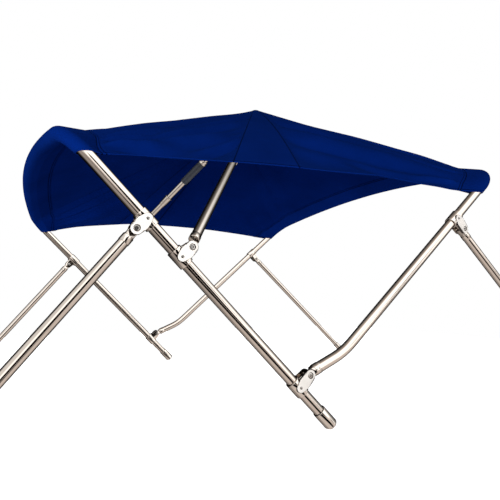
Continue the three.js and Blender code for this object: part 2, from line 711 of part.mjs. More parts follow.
// A sheet of cloth from a grid of points on its middle surface.
function sheetCloth(grid) {
  const normals = grid.map((line, i) => line.map((_, j) => gridNormal(grid, i, j)));
  const builder = new MeshBuilder();
  const shift = (amount) => {
    return grid.map((line, i) => {
      return builder.add(line.map((point, j) => point.clone().addScaledVector(normals[i][j], amount)));
    });
  };
  const top = shift(CLOTH / 2);
  const bottom = shift(-CLOTH / 2);
  for (let i = 1; i < grid.length; i += 1) {
    builder.wall(top[i - 1], top[i], false);
    builder.wall(bottom[i], bottom[i - 1], false);
  }
  const last = grid.length - 1;
  const side = (rowsOfIds, j) => rowsOfIds.map((line) => line.at(j));
  builder.wall(top[last], bottom[last], false);
  builder.wall(bottom[0], top[0], false);
  builder.wall(side(top, 0), side(bottom, 0), false);
  builder.wall(side(bottom, -1), side(top, -1), false);
  return builder.geometry();
}

function gridNormal(grid, i, j) {
  const before = grid[Math.max(i - 1, 0)][j];
  const after = grid[Math.min(i + 1, grid.length - 1)][j];
  const left = grid[i][Math.max(j - 1, 0)];
  const right = grid[i][Math.min(j + 1, grid[i].length - 1)];
  const along = right.clone().sub(left);
  return along.cross(after.clone().sub(before)).normalize();
}

// How far the creases lift the cloth at a place between two seams.
function creaseDepth(creases, u, v) {
  const fade = Math.sin(Math.PI * v);
  const depths = creases.map(({ u: middle, width, depth, start, end }) => {
    return depth * lerp(start, end, v) * Math.exp(-(((u - middle) / width) ** 2));
  });
  return fade * depths.reduce((sum, depth) => sum + depth, 0);
}

// A panel between the seam of a pocket and a seam of the ridge.
function panelGrid(pocket, seam, sag, creases) {
  return rows.map((row, i) => {
    const start = pocket[i].point.clone().addScaledVector(pocket[i].line, pocket[i].width + SEAM_GAP / 2);
    const end = ridge[i][seam].clone();
    end.addScaledVector(end.clone().sub(ridge[i][2 - seam]).normalize(), RIDGE.seamGap);
    const flank = row.part === 2 ? row.share : 0;
    return Array.from({ length: PANEL_COLUMNS + 1 }, (_, j) => {
      const v = j / PANEL_COLUMNS;
      const point = start.clone().lerp(end, v);
      const level = hemHeight(point.x, row.side) - point.z;
      const blend = Math.sin(Math.PI * v) ** 0.5 * Math.max(0, flank * 2 - 1) ** 2;
      point.z += level * clamp(blend, 0, 1) - sag * 4 * v * (1 - v) * (1 - flank);
      const out = creaseDepth(creases, row.u, v);
      return point.add(new THREE.Vector3(0, row.side * flank, 1).normalize().multiplyScalar(out));
    });
  });
}

function ridgeGrid() {
  return ridge.map(([main, middle, second]) => {
    const lift = middle.clone().sub(main.clone().lerp(second, 0.5));
    return Array.from({ length: RIDGE_COLUMNS + 1 }, (_, j) => {
      const v = j / RIDGE_COLUMNS;
      return main.clone().lerp(second, v).addScaledVector(lift, 4 * v * (1 - v));
    });
  });
}

const mainPanel = panelGrid(mainPocket, 0, SAG.main, MAIN_CREASES);
const secondPanel = panelGrid(secondPocket, 2, SAG.second, SECOND_CREASES);
addMesh("main_pocket", pocketCloth(mainPocket), materials.cloth);
addMesh("main_panel", sheetCloth(mainPanel), materials.cloth);
addMesh("ridge_panel", sheetCloth(ridgeGrid()), materials.cloth);
addMesh("second_panel", sheetCloth(secondPanel), materials.cloth);
addMesh("second_pocket", pocketCloth(secondPocket), materials.cloth);

// The origin is in the middle of the footprint, on the deck.
const bounds = new THREE.Box3().setFromObject(model);
const centre = bounds.getCenter(new THREE.Vector3());
model.position.set(-centre.x, -centre.y, 0);

export default model;
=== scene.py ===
# A bimini top in polished tube and blue canvas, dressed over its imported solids. X runs along the boat, Y
# across it and Z up. Sizes are in millimetres until a mesh is made, when they become metres.

from itertools import chain
from math import acos, asin, atan2, cos, exp, hypot, pi, radians, sin, tan

import bpy
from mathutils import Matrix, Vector


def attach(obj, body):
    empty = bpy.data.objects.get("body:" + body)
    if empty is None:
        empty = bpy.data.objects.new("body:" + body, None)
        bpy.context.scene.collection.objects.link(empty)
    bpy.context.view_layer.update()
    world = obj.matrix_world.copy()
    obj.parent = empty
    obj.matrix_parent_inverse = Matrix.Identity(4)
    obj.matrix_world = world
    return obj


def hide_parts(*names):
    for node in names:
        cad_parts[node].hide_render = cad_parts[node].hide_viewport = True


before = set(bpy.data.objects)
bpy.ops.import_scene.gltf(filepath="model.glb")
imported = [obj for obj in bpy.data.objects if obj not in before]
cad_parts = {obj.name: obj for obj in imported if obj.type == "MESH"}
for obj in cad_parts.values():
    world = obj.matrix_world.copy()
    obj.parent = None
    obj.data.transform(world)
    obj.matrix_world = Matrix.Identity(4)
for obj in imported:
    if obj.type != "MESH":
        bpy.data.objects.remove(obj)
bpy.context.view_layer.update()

# Sizes that the frame and the cloth share with the solids

MM = 0.001
LEG_PLANE = 782.0
BOW_RADIUS = 16.0
SLIM_RADIUS = 14.0
CLEARANCE = 0.3

MAIN_ANGLE = 134.5
SECOND_RUN_ANGLE = 23.3
SECOND_ANGLE = 41.5
MIDDLE_ANGLE = 51.7
MAIN_BRACE_ANGLE = 230.6
SECOND_BRACE_ANGLE = -42.5

# Each hinge bolt: how far up the leg, and how far out from its axis
SECOND_HINGE = (163.0, 44.5)
MIDDLE_HINGE = (650.0, 36.0)
MAIN_BRACE_HINGE = (776.0, 36.0)
SECOND_BRACE_HINGE = (643.0, 44.5)
SECOND_RUN = 140.6
SECOND_RUN_BEND = 256.0

MAIN_ARCH = {"leg": 967.0, "bend": 102.0, "top": 1134.0}
SECOND_ARCH = {"leg": 836.0, "bend": 120.0, "top": 1069.0}
MIDDLE_LEAN = 37.6
MIDDLE_BEND = 185.0

FOOT = {"length": 63.0, "bore": 38.0}
BRACE_FOOT = {"length": 45.0, "bore": 27.0}
FOOT_WALL = 3.0
FOOT_RIM = 1.2
FOOT_RIM_STRIP = 0.1  # how near its end the rim's last strip lies
FOOT_ROUNDING = 6.0
FOOT_FLAT_DEPTH = 4.0
COLLAR_FROM = 24.0
COLLAR_TO = 44.0
LEANING_COLLAR_FROM = 36.0
LEANING_COLLAR_TO = 56.0
SLEEVE_PARTING = 579.0

MAIN_BASE = Vector((-100.73, -LEG_PLANE, 6.83))

# Sizes of the cloth

CLOTH_THICK = 1.1
SEAM_GAP = 0.6
POCKET_EASE = 2.6
STITCHED = 11.0
MAIN_POCKET = {"past_bend": -14.0, "hip": 50.0, "at_top": 93.0, "at_hem": 39.0}
SECOND_POCKET = {"past_bend": 36.0, "hip": 48.0, "at_top": 80.0, "at_hem": 66.0}
MAIN_FLANK = 57.0  # length of the main pocket's flank
SECOND_FLANK_SHARE = 1.4  # how far above the hem the second pocket's rows count as, against the main one's
# Half the distance between a pocket's stitched layers: at the hem, and from a little above it
LAYERS_AT_HEM = 2.85
LAYERS_ABOVE = 0.85
LAYERS_FROM = 14.0
LAYERS_OVER = 26.0

RIDGE = {"gap": 2.2, "seam": 14.0, "main_drop": 4.6, "second_drop": 3.0}
RIDGE_SHOULDER = 24.0
RIDGE_HIP = 38.0
RIDGE_BULGE = 14.0
RIDGE_HEM = (-310.0, -99.0)
# Height of the hem on each side, at distances from the main foot along X
HEM_AT = (-690.0, -538.0, -349.0, -195.0, 0.0, 202.0, 358.0, 467.0, 620.0)
HEM_PORT = (711.0, 720.0, 732.0, 740.0, 747.0, 755.0, 748.0, 745.0, 733.0)
HEM_STARBOARD = (716.0, 743.0, 768.0, 780.0, 782.0, 775.0, 765.0, 758.0, 746.0)
MAIN_SAG = 14.0
SECOND_SAG = 3.0
HEM_DEPTH = 13.0
HEM_FOLD = 1.9
HEM_ROUND = 0.95  # how far the folded edge stands out
HEM_TURN = 0.4  # where its inner layer begins, up from the edge
HEM_STITCH = 8.0  # from the edge to its row of stitches
STITCH_WIDTH = 1.6  # half of the furrow that a row of stitches pulls in
STITCH_DEPTH = 1.1
CANOPY_LENGTH = 2.465
CANOPY_WIDTH = 2.055

# How finely the canopy is drawn. Its rows run from pocket to pocket, its columns from hem to hem.

PART_MARKS = (0.0, 1 / 3, 0.6, 1.0)  # along half a column: where crown, shoulder and flank start, and the hem
ROW_COUNTS = (38, 12, 54)  # crown, shoulder and flank of half a column
STITCHED_STEPS = (0.0, 0.4, 0.75, 1.0)
POCKET_FLAT_STEPS = 6
POCKET_ARC_STEPS = 16
PANEL_STEPS = 42
RIDGE_STEPS = 8
HEM_REACH = 20  # rows near the edge that the folded part of the hem is measured along
HEM_ROW = 7  # the row with the hem's stitches, counted from the folded edge
POCKET_COLUMNS = 2 * (len(STITCHED_STEPS) + POCKET_FLAT_STEPS - 1) + POCKET_ARC_STEPS + 1
RIDGE_FROM = POCKET_COLUMNS + PANEL_STEPS - 1
RIDGE_TO = RIDGE_FROM + RIDGE_STEPS
LAST_COLUMN = RIDGE_TO + PANEL_STEPS - 1 + POCKET_COLUMNS
POCKET_SEAMS = (1, 3, POCKET_COLUMNS - 4, POCKET_COLUMNS - 2)
SEAM_COLUMNS = (*POCKET_SEAMS, RIDGE_FROM, RIDGE_TO, *(LAST_COLUMN - j for j in reversed(POCKET_SEAMS)))
FURROW_STEPS = (2, 1, 0, -1, -2)
# The canvas is painted near black along each furrow: the thread at its middle, and painted shade on its
# sides.
BESIDE_STITCHES = 0.7  # how dark a furrow's sides are against its middle
LOWER_LAYER = 15  # the last column of the main pocket's turned-under layer, with its furrows

# Folds of a panel: from and to, each as place along a column and share from pocket to ridge, then half width
# on the same scale, and height in mm
MAIN_FOLDS = (
    ((-0.782, 0.06), (-0.778, 1.02), 0.024, -16.9),
    ((-0.735, 0.30), (-0.740, 1.02), 0.022, 10.4),
    ((-0.855, 0.02), (-0.880, 0.42), 0.026, 14.3),
    ((-0.930, 0.08), (-0.930, 0.60), 0.022, -9.1),
    ((-0.830, 0.30), (-0.815, 0.90), 0.022, 9.1),
    ((-0.845, 1.04), (-0.890, 0.46), 0.018, -11.7),
    ((-0.895, 1.04), (-0.950, 0.66), 0.016, -10.4),
    ((-0.870, 1.04), (-0.920, 0.56), 0.016, 9.1),
    ((-0.812, 1.04), (-0.840, 0.66), 0.014, -7.8),
    ((-0.700, 1.04), (-0.700, 0.42), 0.018, -11.7),
    ((-0.662, 1.04), (-0.672, 0.28), 0.018, 10.4),
    ((-0.640, 1.02), (-0.630, 0.40), 0.020, -10.4),
    ((-0.700, 0.00), (-0.715, 0.30), 0.018, -11.7),
    ((-0.740, 0.00), (-0.750, 0.26), 0.018, 9.1),
    ((-0.660, 0.02), (-0.640, 0.36), 0.020, 9.1),
    ((-0.50, 0.02), (-0.40, 0.90), 0.050, 13.0),
    ((-0.30, 0.30), (-0.24, 0.98), 0.040, -10.4),
    ((-0.12, 0.03), (0.00, 0.94), 0.044, 11.7),
    ((0.12, 0.02), (0.22, 0.80), 0.040, 6.8),
    ((0.30, 0.20), (0.32, 0.97), 0.044, -6.0),
    ((0.44, 0.02), (0.38, 0.80), 0.050, 6.8),
    ((0.66, 0.03), (0.62, 0.72), 0.030, 7.5),
    ((0.74, 0.00), (0.76, 0.60), 0.026, -7.5),
    ((0.80, 0.04), (0.70, 0.95), 0.028, 7.5),
    ((0.90, 0.02), (0.86, 0.72), 0.024, -8.2),
    ((0.95, 0.34), (0.90, 1.02), 0.022, 6.0),
    ((0.84, 0.40), (0.80, 1.02), 0.024, -6.8),
)
SECOND_FOLDS = (
    ((-0.845, 1.04), (-0.850, 0.04), 0.022, -18.2),
    ((-0.790, 1.02), (-0.775, 0.10), 0.034, 15.6),
    ((-0.895, 0.72), (-0.930, 0.06), 0.020, -11.7),
    ((-0.900, 1.00), (-0.890, 0.50), 0.026, 9.1),
    ((-0.720, 1.04), (-0.720, 0.52), 0.020, -10.4),
    ((-0.680, 0.96), (-0.660, 0.30), 0.022, 10.4),
    ((-0.740, 0.00), (-0.700, 0.34), 0.020, -9.1),
    ((-0.900, 0.00), (-0.880, 0.26), 0.018, 9.1),
    ((-0.640, 1.02), (-0.630, 0.60), 0.018, -9.1),
    ((-0.50, 0.03), (-0.44, 0.70), 0.045, 10.4),
    ((-0.34, 0.04), (-0.20, 0.90), 0.050, 10.4),
    ((-0.10, 0.10), (-0.05, 0.96), 0.042, -9.1),
    ((0.10, 0.02), (0.16, 0.76), 0.042, 6.0),
    ((0.30, 0.10), (0.24, 0.97), 0.046, -5.2),
    ((0.42, 0.02), (0.46, 0.80), 0.046, 6.0),
    ((0.66, 0.03), (0.64, 0.66), 0.028, 6.8),
    ((0.84, 0.02), (0.76, 0.50), 0.024, 6.8),
    ((0.90, 0.00), (0.84, 0.40), 0.020, -6.0),
    ((0.95, 0.05), (0.86, 0.96), 0.026, 7.5),
    ((0.88, 0.50), (0.80, 1.02), 0.026, -6.8),
)
FOLD_WIDENS = (0.7, 1.5)  # share of its width at a fold's start, and at its end
FOLD_RISES = (-0.1, 0.35)  # place along a fold where it begins to rise, and over how much of its run
FOLD_FALLS = (0.6, 0.5)
# Small puckers along a seam: length of a wave, how far they reach into the panel, height in mm
PUCKERS = ((52.0, 0.070, 2.4), (34.0, 0.040, 1.3))
PUCKER_UNEVEN = 113.0  # over what length along the seam their height changes
PUCKER_DRIFT = 59.0  # and their waves
RIDGE_PUCKERS = 0.5  # height of those at the ridge's seams against those at the pockets'
RIDGE_PUCKER_PACE = 1.13
SEAM_HOLD = 0.05  # share of a panel beside each seam where the cloth lies flat


def clamp(value, low=0.0, high=1.0):
    return max(low, min(high, value))


def mix(a, b, share):
    return a + (b - a) * share


def smooth(share):
    share = clamp(share)
    return share * share * (3 - 2 * share)


def direction(angle):
    return Vector((cos(radians(angle)), 0, sin(radians(angle))))


def mirrored(point):
    return Vector((point.x, -point.y, point.z))


# Bows


class Bow:
    """A bow in its own plane: arcs from its top down, then a straight leg."""

    def __init__(self, base, angle, top, arcs, leg_length):
        self.base = Vector((base.x, 0, base.z))
        self.up = direction(angle)
        self.top = top
        self.arcs = arcs
        self.arc_length = sum(radius * turn for radius, turn in arcs)
        self.hinge = self.arc_length + leg_length

    def at(self, distance):
        """The point and tangent at a distance along the bow from its top, less than 0 to port."""
        side = -1 if distance < 0 else 1
        rest = abs(distance)
        angle = 0.0
        y = 0.0
        height = self.top
        for radius, turn in self.arcs:
            length = min(rest, radius * turn)
            after = angle + length / radius
            y += radius * (sin(after) - sin(angle))
            height -= radius * (cos(angle) - cos(after))
            angle = after
            rest -= length
        y += rest * cos(angle)
        height -= rest * sin(angle)
        point = self.base + self.up * height
        point.y = side * y
        return point, Vector((0, cos(angle), 0)) + self.up * (-side * sin(angle))


def arched_bow(base, angle, arch):
    reach = LEG_PLANE - arch["bend"]
    rise = arch["top"] - arch["leg"]
    crown = (reach**2 + rise**2 - arch["bend"] ** 2) / (2 * (rise - arch["bend"]))
    crown_turn = asin(reach / (crown - arch["bend"]))
    arcs = ((crown, crown_turn), (arch["bend"], pi / 2 - crown_turn))
    return Bow(base, angle, arch["top"], arcs, arch["leg"])


def peaked_bow(base, angle):
    slope = radians(MIDDLE_LEAN)
    leg_length = (LEG_PLANE - MIDDLE_BEND * cos(slope)) / sin(slope)
    top = leg_length * cos(slope) + MIDDLE_BEND * (1 - sin(slope))
    return Bow(base, angle, top, ((MIDDLE_BEND, pi / 2 - slope),), leg_length)


def jaw_point(base, leg, side, hinge):
    return base + direction(leg) * hinge[0] + direction(leg + side * 90) * hinge[1]


second_hinge = jaw_point(MAIN_BASE, MAIN_ANGLE, -1, SECOND_HINGE)
middle_hinge = jaw_point(MAIN_BASE, MAIN_ANGLE, -1, MIDDLE_HINGE)
main_brace_hinge = jaw_point(MAIN_BASE, MAIN_ANGLE, 1, MAIN_BRACE_HINGE)
second_run = direction(SECOND_RUN_ANGLE)
second_base = second_hinge + second_run * SECOND_RUN
second_brace_hinge = jaw_point(second_base, SECOND_ANGLE, -1, SECOND_BRACE_HINGE)

main_bow = arched_bow(MAIN_BASE, MAIN_ANGLE, MAIN_ARCH)
second_bow = arched_bow(second_base, SECOND_ANGLE, SECOND_ARCH)
middle_bow = peaked_bow(middle_hinge, MIDDLE_ANGLE)
BRACES = (
    ("main_brace", main_brace_hinge, MAIN_BRACE_ANGLE),
    ("second_brace", second_brace_hinge, SECOND_BRACE_ANGLE),
)

# Materials


class Shading:
    """A tree of shader nodes. An input is given as a value, or as an output of another node."""

    def __init__(self, owner):
        owner.use_nodes = True
        self.nodes = owner.node_tree.nodes
        self.links = owner.node_tree.links

    def set(self, node, inputs):
        for name, value in inputs.items():
            if isinstance(value, bpy.types.NodeSocket):
                self.links.new(value, node.inputs[name])
            else:
                node.inputs[name].default_value = value

    def add(self, kind, output, inputs=None, **settings):
        """Adds a node and gives one of its outputs."""
        node = self.nodes.new(f"ShaderNode{kind}")
        for name, value in settings.items():
            setattr(node, name, value)
        self.set(node, inputs or {})
        return node.outputs[output]

    def noise(self, scale, detail, stretch=(1, 1, 1), source="Object"):
        place = self.add("TexCoord", source)
        stretched = self.add("Mapping", "Vector", {"Vector": place, "Scale": stretch})
        return self.add("TexNoise", "Fac", {"Vector": stretched, "Scale": scale, "Detail": detail})

    def ramp(self, value, stops):
        colour = self.add("ValToRGB", "Color", {"Fac": value})
        elements = colour.node.color_ramp.elements
        while len(elements) < len(stops):
            elements.new(0.5)
        for element, (position, tone) in zip(elements, stops):
            element.position = position
            element.color = (*tone, 1)
        return colour

    def blend(self, mode, first, second, share=1.0):
        inputs = {"Factor": share, "A": first, "B": second}
        return self.add("Mix", "Result", inputs, data_type="RGBA", blend_type=mode)

    def bump(self, height, distance, strength, below=None):
        inputs = {"Height": height, "Distance": distance, "Strength": strength}
        if below is not None:
            inputs["Normal"] = below
        return self.add("Bump", "Normal", inputs)


def new_finish(name):
    material = bpy.data.materials.new(name)
    shading = Shading(material)
    return material, shading, shading.nodes["Principled BSDF"]


def steel(name, colour, metallic, roughness, blotch, drawn=False):
    """Stainless with a little haze. Drawn tube is polished round, so it blurs along its length."""
    material, shading, shader = new_finish(name)
    stops = ((0.3, [c * (1 - blotch) for c in colour]), (0.7, colour))
    tone = shading.ramp(shading.noise(34.0, 4.0), stops)
    if drawn:
        tangent = shading.add("Tangent", "Tangent", direction_type="UV_MAP", uv_map="along")
        shading.set(shader, {"Anisotropic": 1.0, "Tangent": tangent})
        marks = shading.noise(1.0, 3.0, (4.0, 900.0, 1.0), "UV")
    else:
        marks = shading.noise(420.0, 3.0)
    low_rough = roughness * 0.85
    high_rough = roughness * 1.2
    inputs = {"Value": marks, "From Min": 0.3, "From Max": 0.75, "To Min": low_rough, "To Max": high_rough}
    shading.set(shader, {
        "Base Color": tone,
        "Metallic": metallic,
        "Roughness": shading.add("MapRange", "Result", inputs),
        "Specular Tint": (0.05, 0.05, 0.05, 1.0),
    })
    return material


def canvas(name, light, dark):
    """Woven canvas: crossed threads on the piece's own UV map, uneven dye, and near black where it is
    stitched: dark thread at the stitches, painted shade in their furrows.
    """
    material, shading, shader = new_finish(name)
    lengths = shading.add("TexCoord", "UV")
    threads = []
    for turn in (0.0, pi / 2):
        turned = shading.add("Mapping", "Vector", {"Vector": lengths, "Rotation": (0, 0, turn)})
        inputs = {"Vector": turned, "Scale": 150.0, "Distortion": 1.2, "Detail": 2.0, "Detail Scale": 2.0}
        threads.append(shading.add("TexWave", "Fac", inputs, wave_type="BANDS"))
    weave = shading.add("Math", "Value", dict(enumerate(threads)), operation="MULTIPLY")
    dye = shading.ramp(shading.noise(5.0, 5.0), ((0.32, dark), (0.7, light)))
    crossed = shading.ramp(weave, ((0.0, (0.55, 0.55, 0.6)), (0.6, (1.0, 1.0, 1.0))))
    woven = shading.blend("MULTIPLY", dye, crossed, 0.45)
    stitched = shading.add("Attribute", "Fac", attribute_name="stitched")
    # Near black for the stitches and their furrows: the dark thread, and painted shade where the furrow dips.
    furrow_thread_and_shade = (*[c * 0.03 for c in dark], 1.0)
    fine = shading.bump(weave, 0.0004, 0.5)
    shading.set(shader, {
        "Base Color": shading.blend("MIX", woven, furrow_thread_and_shade, stitched),
        "Roughness": 0.78,
        "Specular IOR Level": 0.0,
        "Sheen Weight": 0.01,
        "Sheen Roughness": 0.6,
        "Sheen Tint": (0.05, 0.2, 0.9, 1.0),
        "Normal": shading.bump(shading.noise(9.0, 3.0), 0.004, 0.25, fine),
    })
    return material


def moulded(name, colour, roughness):
    material, shading, shader = new_finish(name)
    grain = shading.noise(700.0, 2.0)
    shading.set(shader, {
        "Base Color": shading.ramp(grain, ((0.3, [c * 0.7 for c in colour]), (0.7, colour))),
        "Roughness": roughness,
        "Normal": shading.bump(grain, 0.0003, 0.3),
    })
    return material


tube_steel = steel("tube_steel", (0.50, 0.445, 0.395), 1.0, 0.07, 0.06, True)
slim_steel = steel("slim_steel", (0.52, 0.475, 0.43), 1.0, 0.09, 0.08, True)
cast_steel = steel("cast_steel", (0.52, 0.47, 0.42), 1.0, 0.08, 0.1)
plate_steel = steel("plate_steel", (0.35, 0.335, 0.32), 0.05, 0.4, 0.16)
# Near-black steel for the lugs' rims and sides: a painted dark outline, shade painted into the colour.
lug_rim_painted_shade = steel("lug_rim_painted_shade", (0.10, 0.09, 0.085), 1.0, 0.25, 0.2)
bolt_steel = steel("bolt_steel", (0.36, 0.34, 0.32), 1.0, 0.2, 0.2)
grip_plastic = moulded("grip_plastic", (0.016, 0.02, 0.03), 0.42)
canopy_canvas = canvas("canopy_canvas", (0.0004, 0.0068, 0.070), (0.0002, 0.0052, 0.054))
# The second canvas is a darker copy for the canopy's underside and the main pocket's turned-under layer:
# painted shade.
canopy_painted_shade = canvas("canopy_painted_shade", (0.0002, 0.0052, 0.057), (0.0001, 0.0038, 0.042))

# Making and placing pieces


def leave_edit():
    bpy.ops.object.mode_set(mode="OBJECT")


def edit_whole():
    bpy.ops.object.mode_set(mode="EDIT")
    bpy.ops.mesh.select_all(action="SELECT")


def face_outward():
    edit_whole()
    bpy.ops.mesh.normals_make_consistent(inside=False)
    leave_edit()


def take(*pieces):
    """Chooses these pieces alone, the first of them as the active one."""
    bpy.ops.object.select_all(action="DESELECT")
    for piece in pieces:
        piece.select_set(True)
    bpy.context.view_layer.objects.active = pieces[0]


def clear_away(*pieces):
    take(*pieces)
    bpy.ops.object.delete()


def apply_place(piece):
    take(piece)
    bpy.ops.object.transform_apply(location=True, rotation=True, scale=True)


def finish_piece(piece, name, material, nodes, smooth_angle=35.0):
    """Names, paints and smooths a piece, and lets it stand for its solids."""
    apply_place(piece)
    bpy.ops.object.shade_smooth_by_angle(angle=radians(smooth_angle))
    piece.name = name
    piece.data.name = name
    if material is not None:
        piece.data.materials.clear()
        piece.data.materials.append(material)
    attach(piece, "root")
    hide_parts(*nodes)


# Tubes: a ring is set at one end, then extruded along the straights and spun round the bends.

RING_SIDES = 40
ARCH_STEPS = (28, 12)
PEAK_STEPS = (20,)
RUN_STEPS = 8


def turn_to(along):
    return Vector((0, 0, 1)).rotation_difference(along).to_euler()


def start_ring(centre, along, radius):
    place = {"location": centre * MM, "rotation": turn_to(along)}
    bpy.ops.mesh.primitive_circle_add(vertices=RING_SIDES, radius=radius * MM, **place)
    piece = bpy.context.object
    apply_place(piece)
    edit_whole()
    return piece


def extrude(move):
    bpy.ops.mesh.extrude_region_move(TRANSFORM_OT_translate={"value": move * MM})


def spin(centre, axis, turn, steps):
    """Spins the chosen ring by the right-hand rule about an axis."""
    bpy.ops.mesh.spin(steps=steps, angle=-turn, center=centre * MM, axis=axis)


def unroll(piece):
    """Lays a tube's UV map flat, in metres: U along the tube and V round it."""
    mesh = piece.data
    points = [point.co for point in mesh.vertices]
    centres = []
    for first in range(0, len(points), RING_SIDES):
        centres.append(sum(points[first:first + RING_SIDES], Vector()) / RING_SIDES)
    lengths = [0.0]
    for a, b in zip(centres, centres[1:]):
        lengths.append(lengths[-1] + (b - a).length)
    step = 2 * (points[0] - centres[0]).length * sin(pi / RING_SIDES)
    layer = mesh.uv_layers.new(name="along").data
    for face in mesh.polygons:
        around = [index % RING_SIDES for index in face.vertices]
        wraps = 0 in around and RING_SIDES - 1 in around
        for loop, index, place in zip(face.loop_indices, face.vertices, around):
            if wraps and place == 0:
                place = RING_SIDES
            layer[loop].uv = (lengths[index // RING_SIDES], place * step)


def close_tube(piece):
    leave_edit()
    unroll(piece)
    edit_whole()
    bpy.ops.mesh.fill_holes(sides=0)
    face_outward()


def spin_over_bow(bow, steps):
    """Spins a ring from the port end of a bow's arcs over its top to the starboard end."""
    axis = bow.up.cross(Vector((0, 1, 0)))
    bends = []
    done = 0.0
    angle = 0.0
    for (radius, turn), count in zip(bow.arcs, steps):
        toward = Vector((0, -sin(angle), 0)) - bow.up * cos(angle)
        bends.append((bow.at(done)[0] + toward * radius, turn, count))
        done += radius * turn
        angle += turn
    for centre, turn, count in reversed(bends):
        spin(mirrored(centre), axis, turn, count)
    for centre, turn, count in bends:
        spin(centre, axis, turn, count)


def bow_tube(name, bow, before, radius, steps, node, finish):
    """A bow whose legs run straight for a length before the first bend."""
    start, tangent = bow.at(-bow.arc_length - before)
    piece = start_ring(start, tangent, radius)
    extrude(tangent * before)
    spin_over_bow(bow, steps)
    extrude(mirrored(-tangent) * before)
    close_tube(piece)
    finish_piece(piece, name, finish, [node])


def straight_tube(name, start, stop, node, finish):
    piece = start_ring(start, (stop - start).normalized(), SLIM_RADIUS)
    extrude(stop - start)
    close_tube(piece)
    finish_piece(piece, name, finish, [node])


def foot_height(radius, angle):
    """Height of a tube's end above the deck when its foot stands on it."""
    flat = radius + FOOT_WALL - FOOT_ROUNDING
    lowest = flat * abs(cos(radians(angle))) + FOOT_ROUNDING * (1 - abs(sin(radians(angle))))
    return lowest - FOOT_FLAT_DEPTH


def brace_end(hinge, angle):
    down = direction(angle)
    drop = hinge.z - foot_height(SLIM_RADIUS, angle)
    return hinge + down * (-drop / down.z)


def make_main_bow():
    leg = main_bow.hinge - main_bow.arc_length - (FOOT["length"] - FOOT["bore"] + CLEARANCE)
    bow_tube("main_bow_tube", main_bow, leg, BOW_RADIUS, ARCH_STEPS, "main_bow", tube_steel)


def make_second_bow():
    """Its legs have a short run at another angle just above the hinges."""
    turn = radians(SECOND_ANGLE - SECOND_RUN_ANGLE)
    to_port = Vector((0, -1, 0))
    bend_start = second_base - second_run * (SECOND_RUN_BEND * tan(turn / 2))
    centre = bend_start + direction(SECOND_RUN_ANGLE + 90) * SECOND_RUN_BEND
    bend_end = centre + direction(SECOND_ANGLE - 90) * SECOND_RUN_BEND
    start = second_hinge + second_run * (COLLAR_TO + CLEARANCE)
    arch_start = second_bow.at(-second_bow.arc_length)[0]
    piece = start_ring(start, second_run, BOW_RADIUS)
    extrude(bend_start - start)
    spin(centre, to_port, turn, RUN_STEPS)
    extrude(arch_start - bend_end)
    spin_over_bow(second_bow, ARCH_STEPS)
    extrude(mirrored(bend_end - arch_start))
    spin(mirrored(centre), -to_port, turn, RUN_STEPS)
    extrude(mirrored(start - bend_start))
    close_tube(piece)
    finish_piece(piece, "second_bow_tube", tube_steel, ["second_bow"])


def make_middle_bow():
    parting = middle_bow.hinge - SLEEVE_PARTING
    top_leg = parting - CLEARANCE / 2 - middle_bow.arc_length
    bow_tube("middle_bow_tube", middle_bow, top_leg, SLIM_RADIUS, PEAK_STEPS, "middle_bow_top", slim_steel)
    low = middle_bow.hinge - LEANING_COLLAR_TO - CLEARANCE
    for side, sign in (("port", -1), ("starboard", 1)):
        start = middle_bow.at(sign * low)[0]
        stop = middle_bow.at(sign * (parting + CLEARANCE / 2))[0]
        straight_tube(f"middle_leg_tube_{side}", start, stop, f"middle_bow_leg_{side}", slim_steel)


def make_braces():
    for name, hinge, angle in BRACES:
        down = direction(angle)
        start = hinge + down * (COLLAR_TO + CLEARANCE)
        stop = brace_end(hinge, angle) - down * (BRACE_FOOT["length"] - BRACE_FOOT["bore"] + CLEARANCE)
        straight_tube(f"{name}_tube_port", start, stop, f"{name}_port", tube_steel)
        start, stop = mirrored(start), mirrored(stop)
        straight_tube(f"{name}_tube_starboard", start, stop, f"{name}_starboard", tube_steel)


make_main_bow()
make_second_bow()
make_middle_bow()
make_braces()

# Fittings. Each is modelled round its own origin, put on the port side, and copied to starboard.

ALONG_Y = (pi / 2, 0, 0)
FINE_SIDES = 56
DISC_SIDES = 40
HOLE_SIDES = 32
HEX_SIDES = 6
NEAR = 0.01  # how near a point counts as on a plane
FACING = 0.9  # a normal's least share along an axis


def add_cylinder(radius, depth, centre=(0, 0, 0), turn=(0, 0, 0), sides=48):
    place = {"location": Vector(centre) * MM, "rotation": turn}
    bpy.ops.mesh.primitive_cylinder_add(vertices=sides, radius=radius * MM, depth=depth * MM, **place)
    piece = bpy.context.object
    apply_place(piece)
    return piece


def choose(piece, kind, test):
    """Selects what passes a test, in mm: faces by centre and normal, edges by their two ends, or points."""
    bpy.ops.object.mode_set(mode="EDIT")
    bpy.ops.mesh.select_all(action="DESELECT")
    bpy.ops.mesh.select_mode(type=kind)
    leave_edit()
    points = piece.data.vertices
    if kind == "FACE":
        for face in piece.data.polygons:
            face.select = test(face.center / MM, face.normal)
    elif kind == "EDGE":
        for edge in piece.data.edges:
            edge.select = test(*(points[i].co / MM for i in edge.vertices))
    else:
        for point in points:
            point.select = test(point.co / MM)
    bpy.ops.object.mode_set(mode="EDIT")


def bevel_chosen(offset, segments):
    bpy.ops.mesh.bevel(offset=offset * MM, segments=segments, profile=0.5, affect="EDGES")
    leave_edit()


def bevel_rim(piece, axis, level, offset, segments):
    """Rounds the rim of a flat end that lies square to an axis."""
    choose(piece, "EDGE", lambda a, b: abs(a[axis] - level) < NEAR and abs(b[axis] - level) < NEAR)
    bevel_chosen(offset, segments)


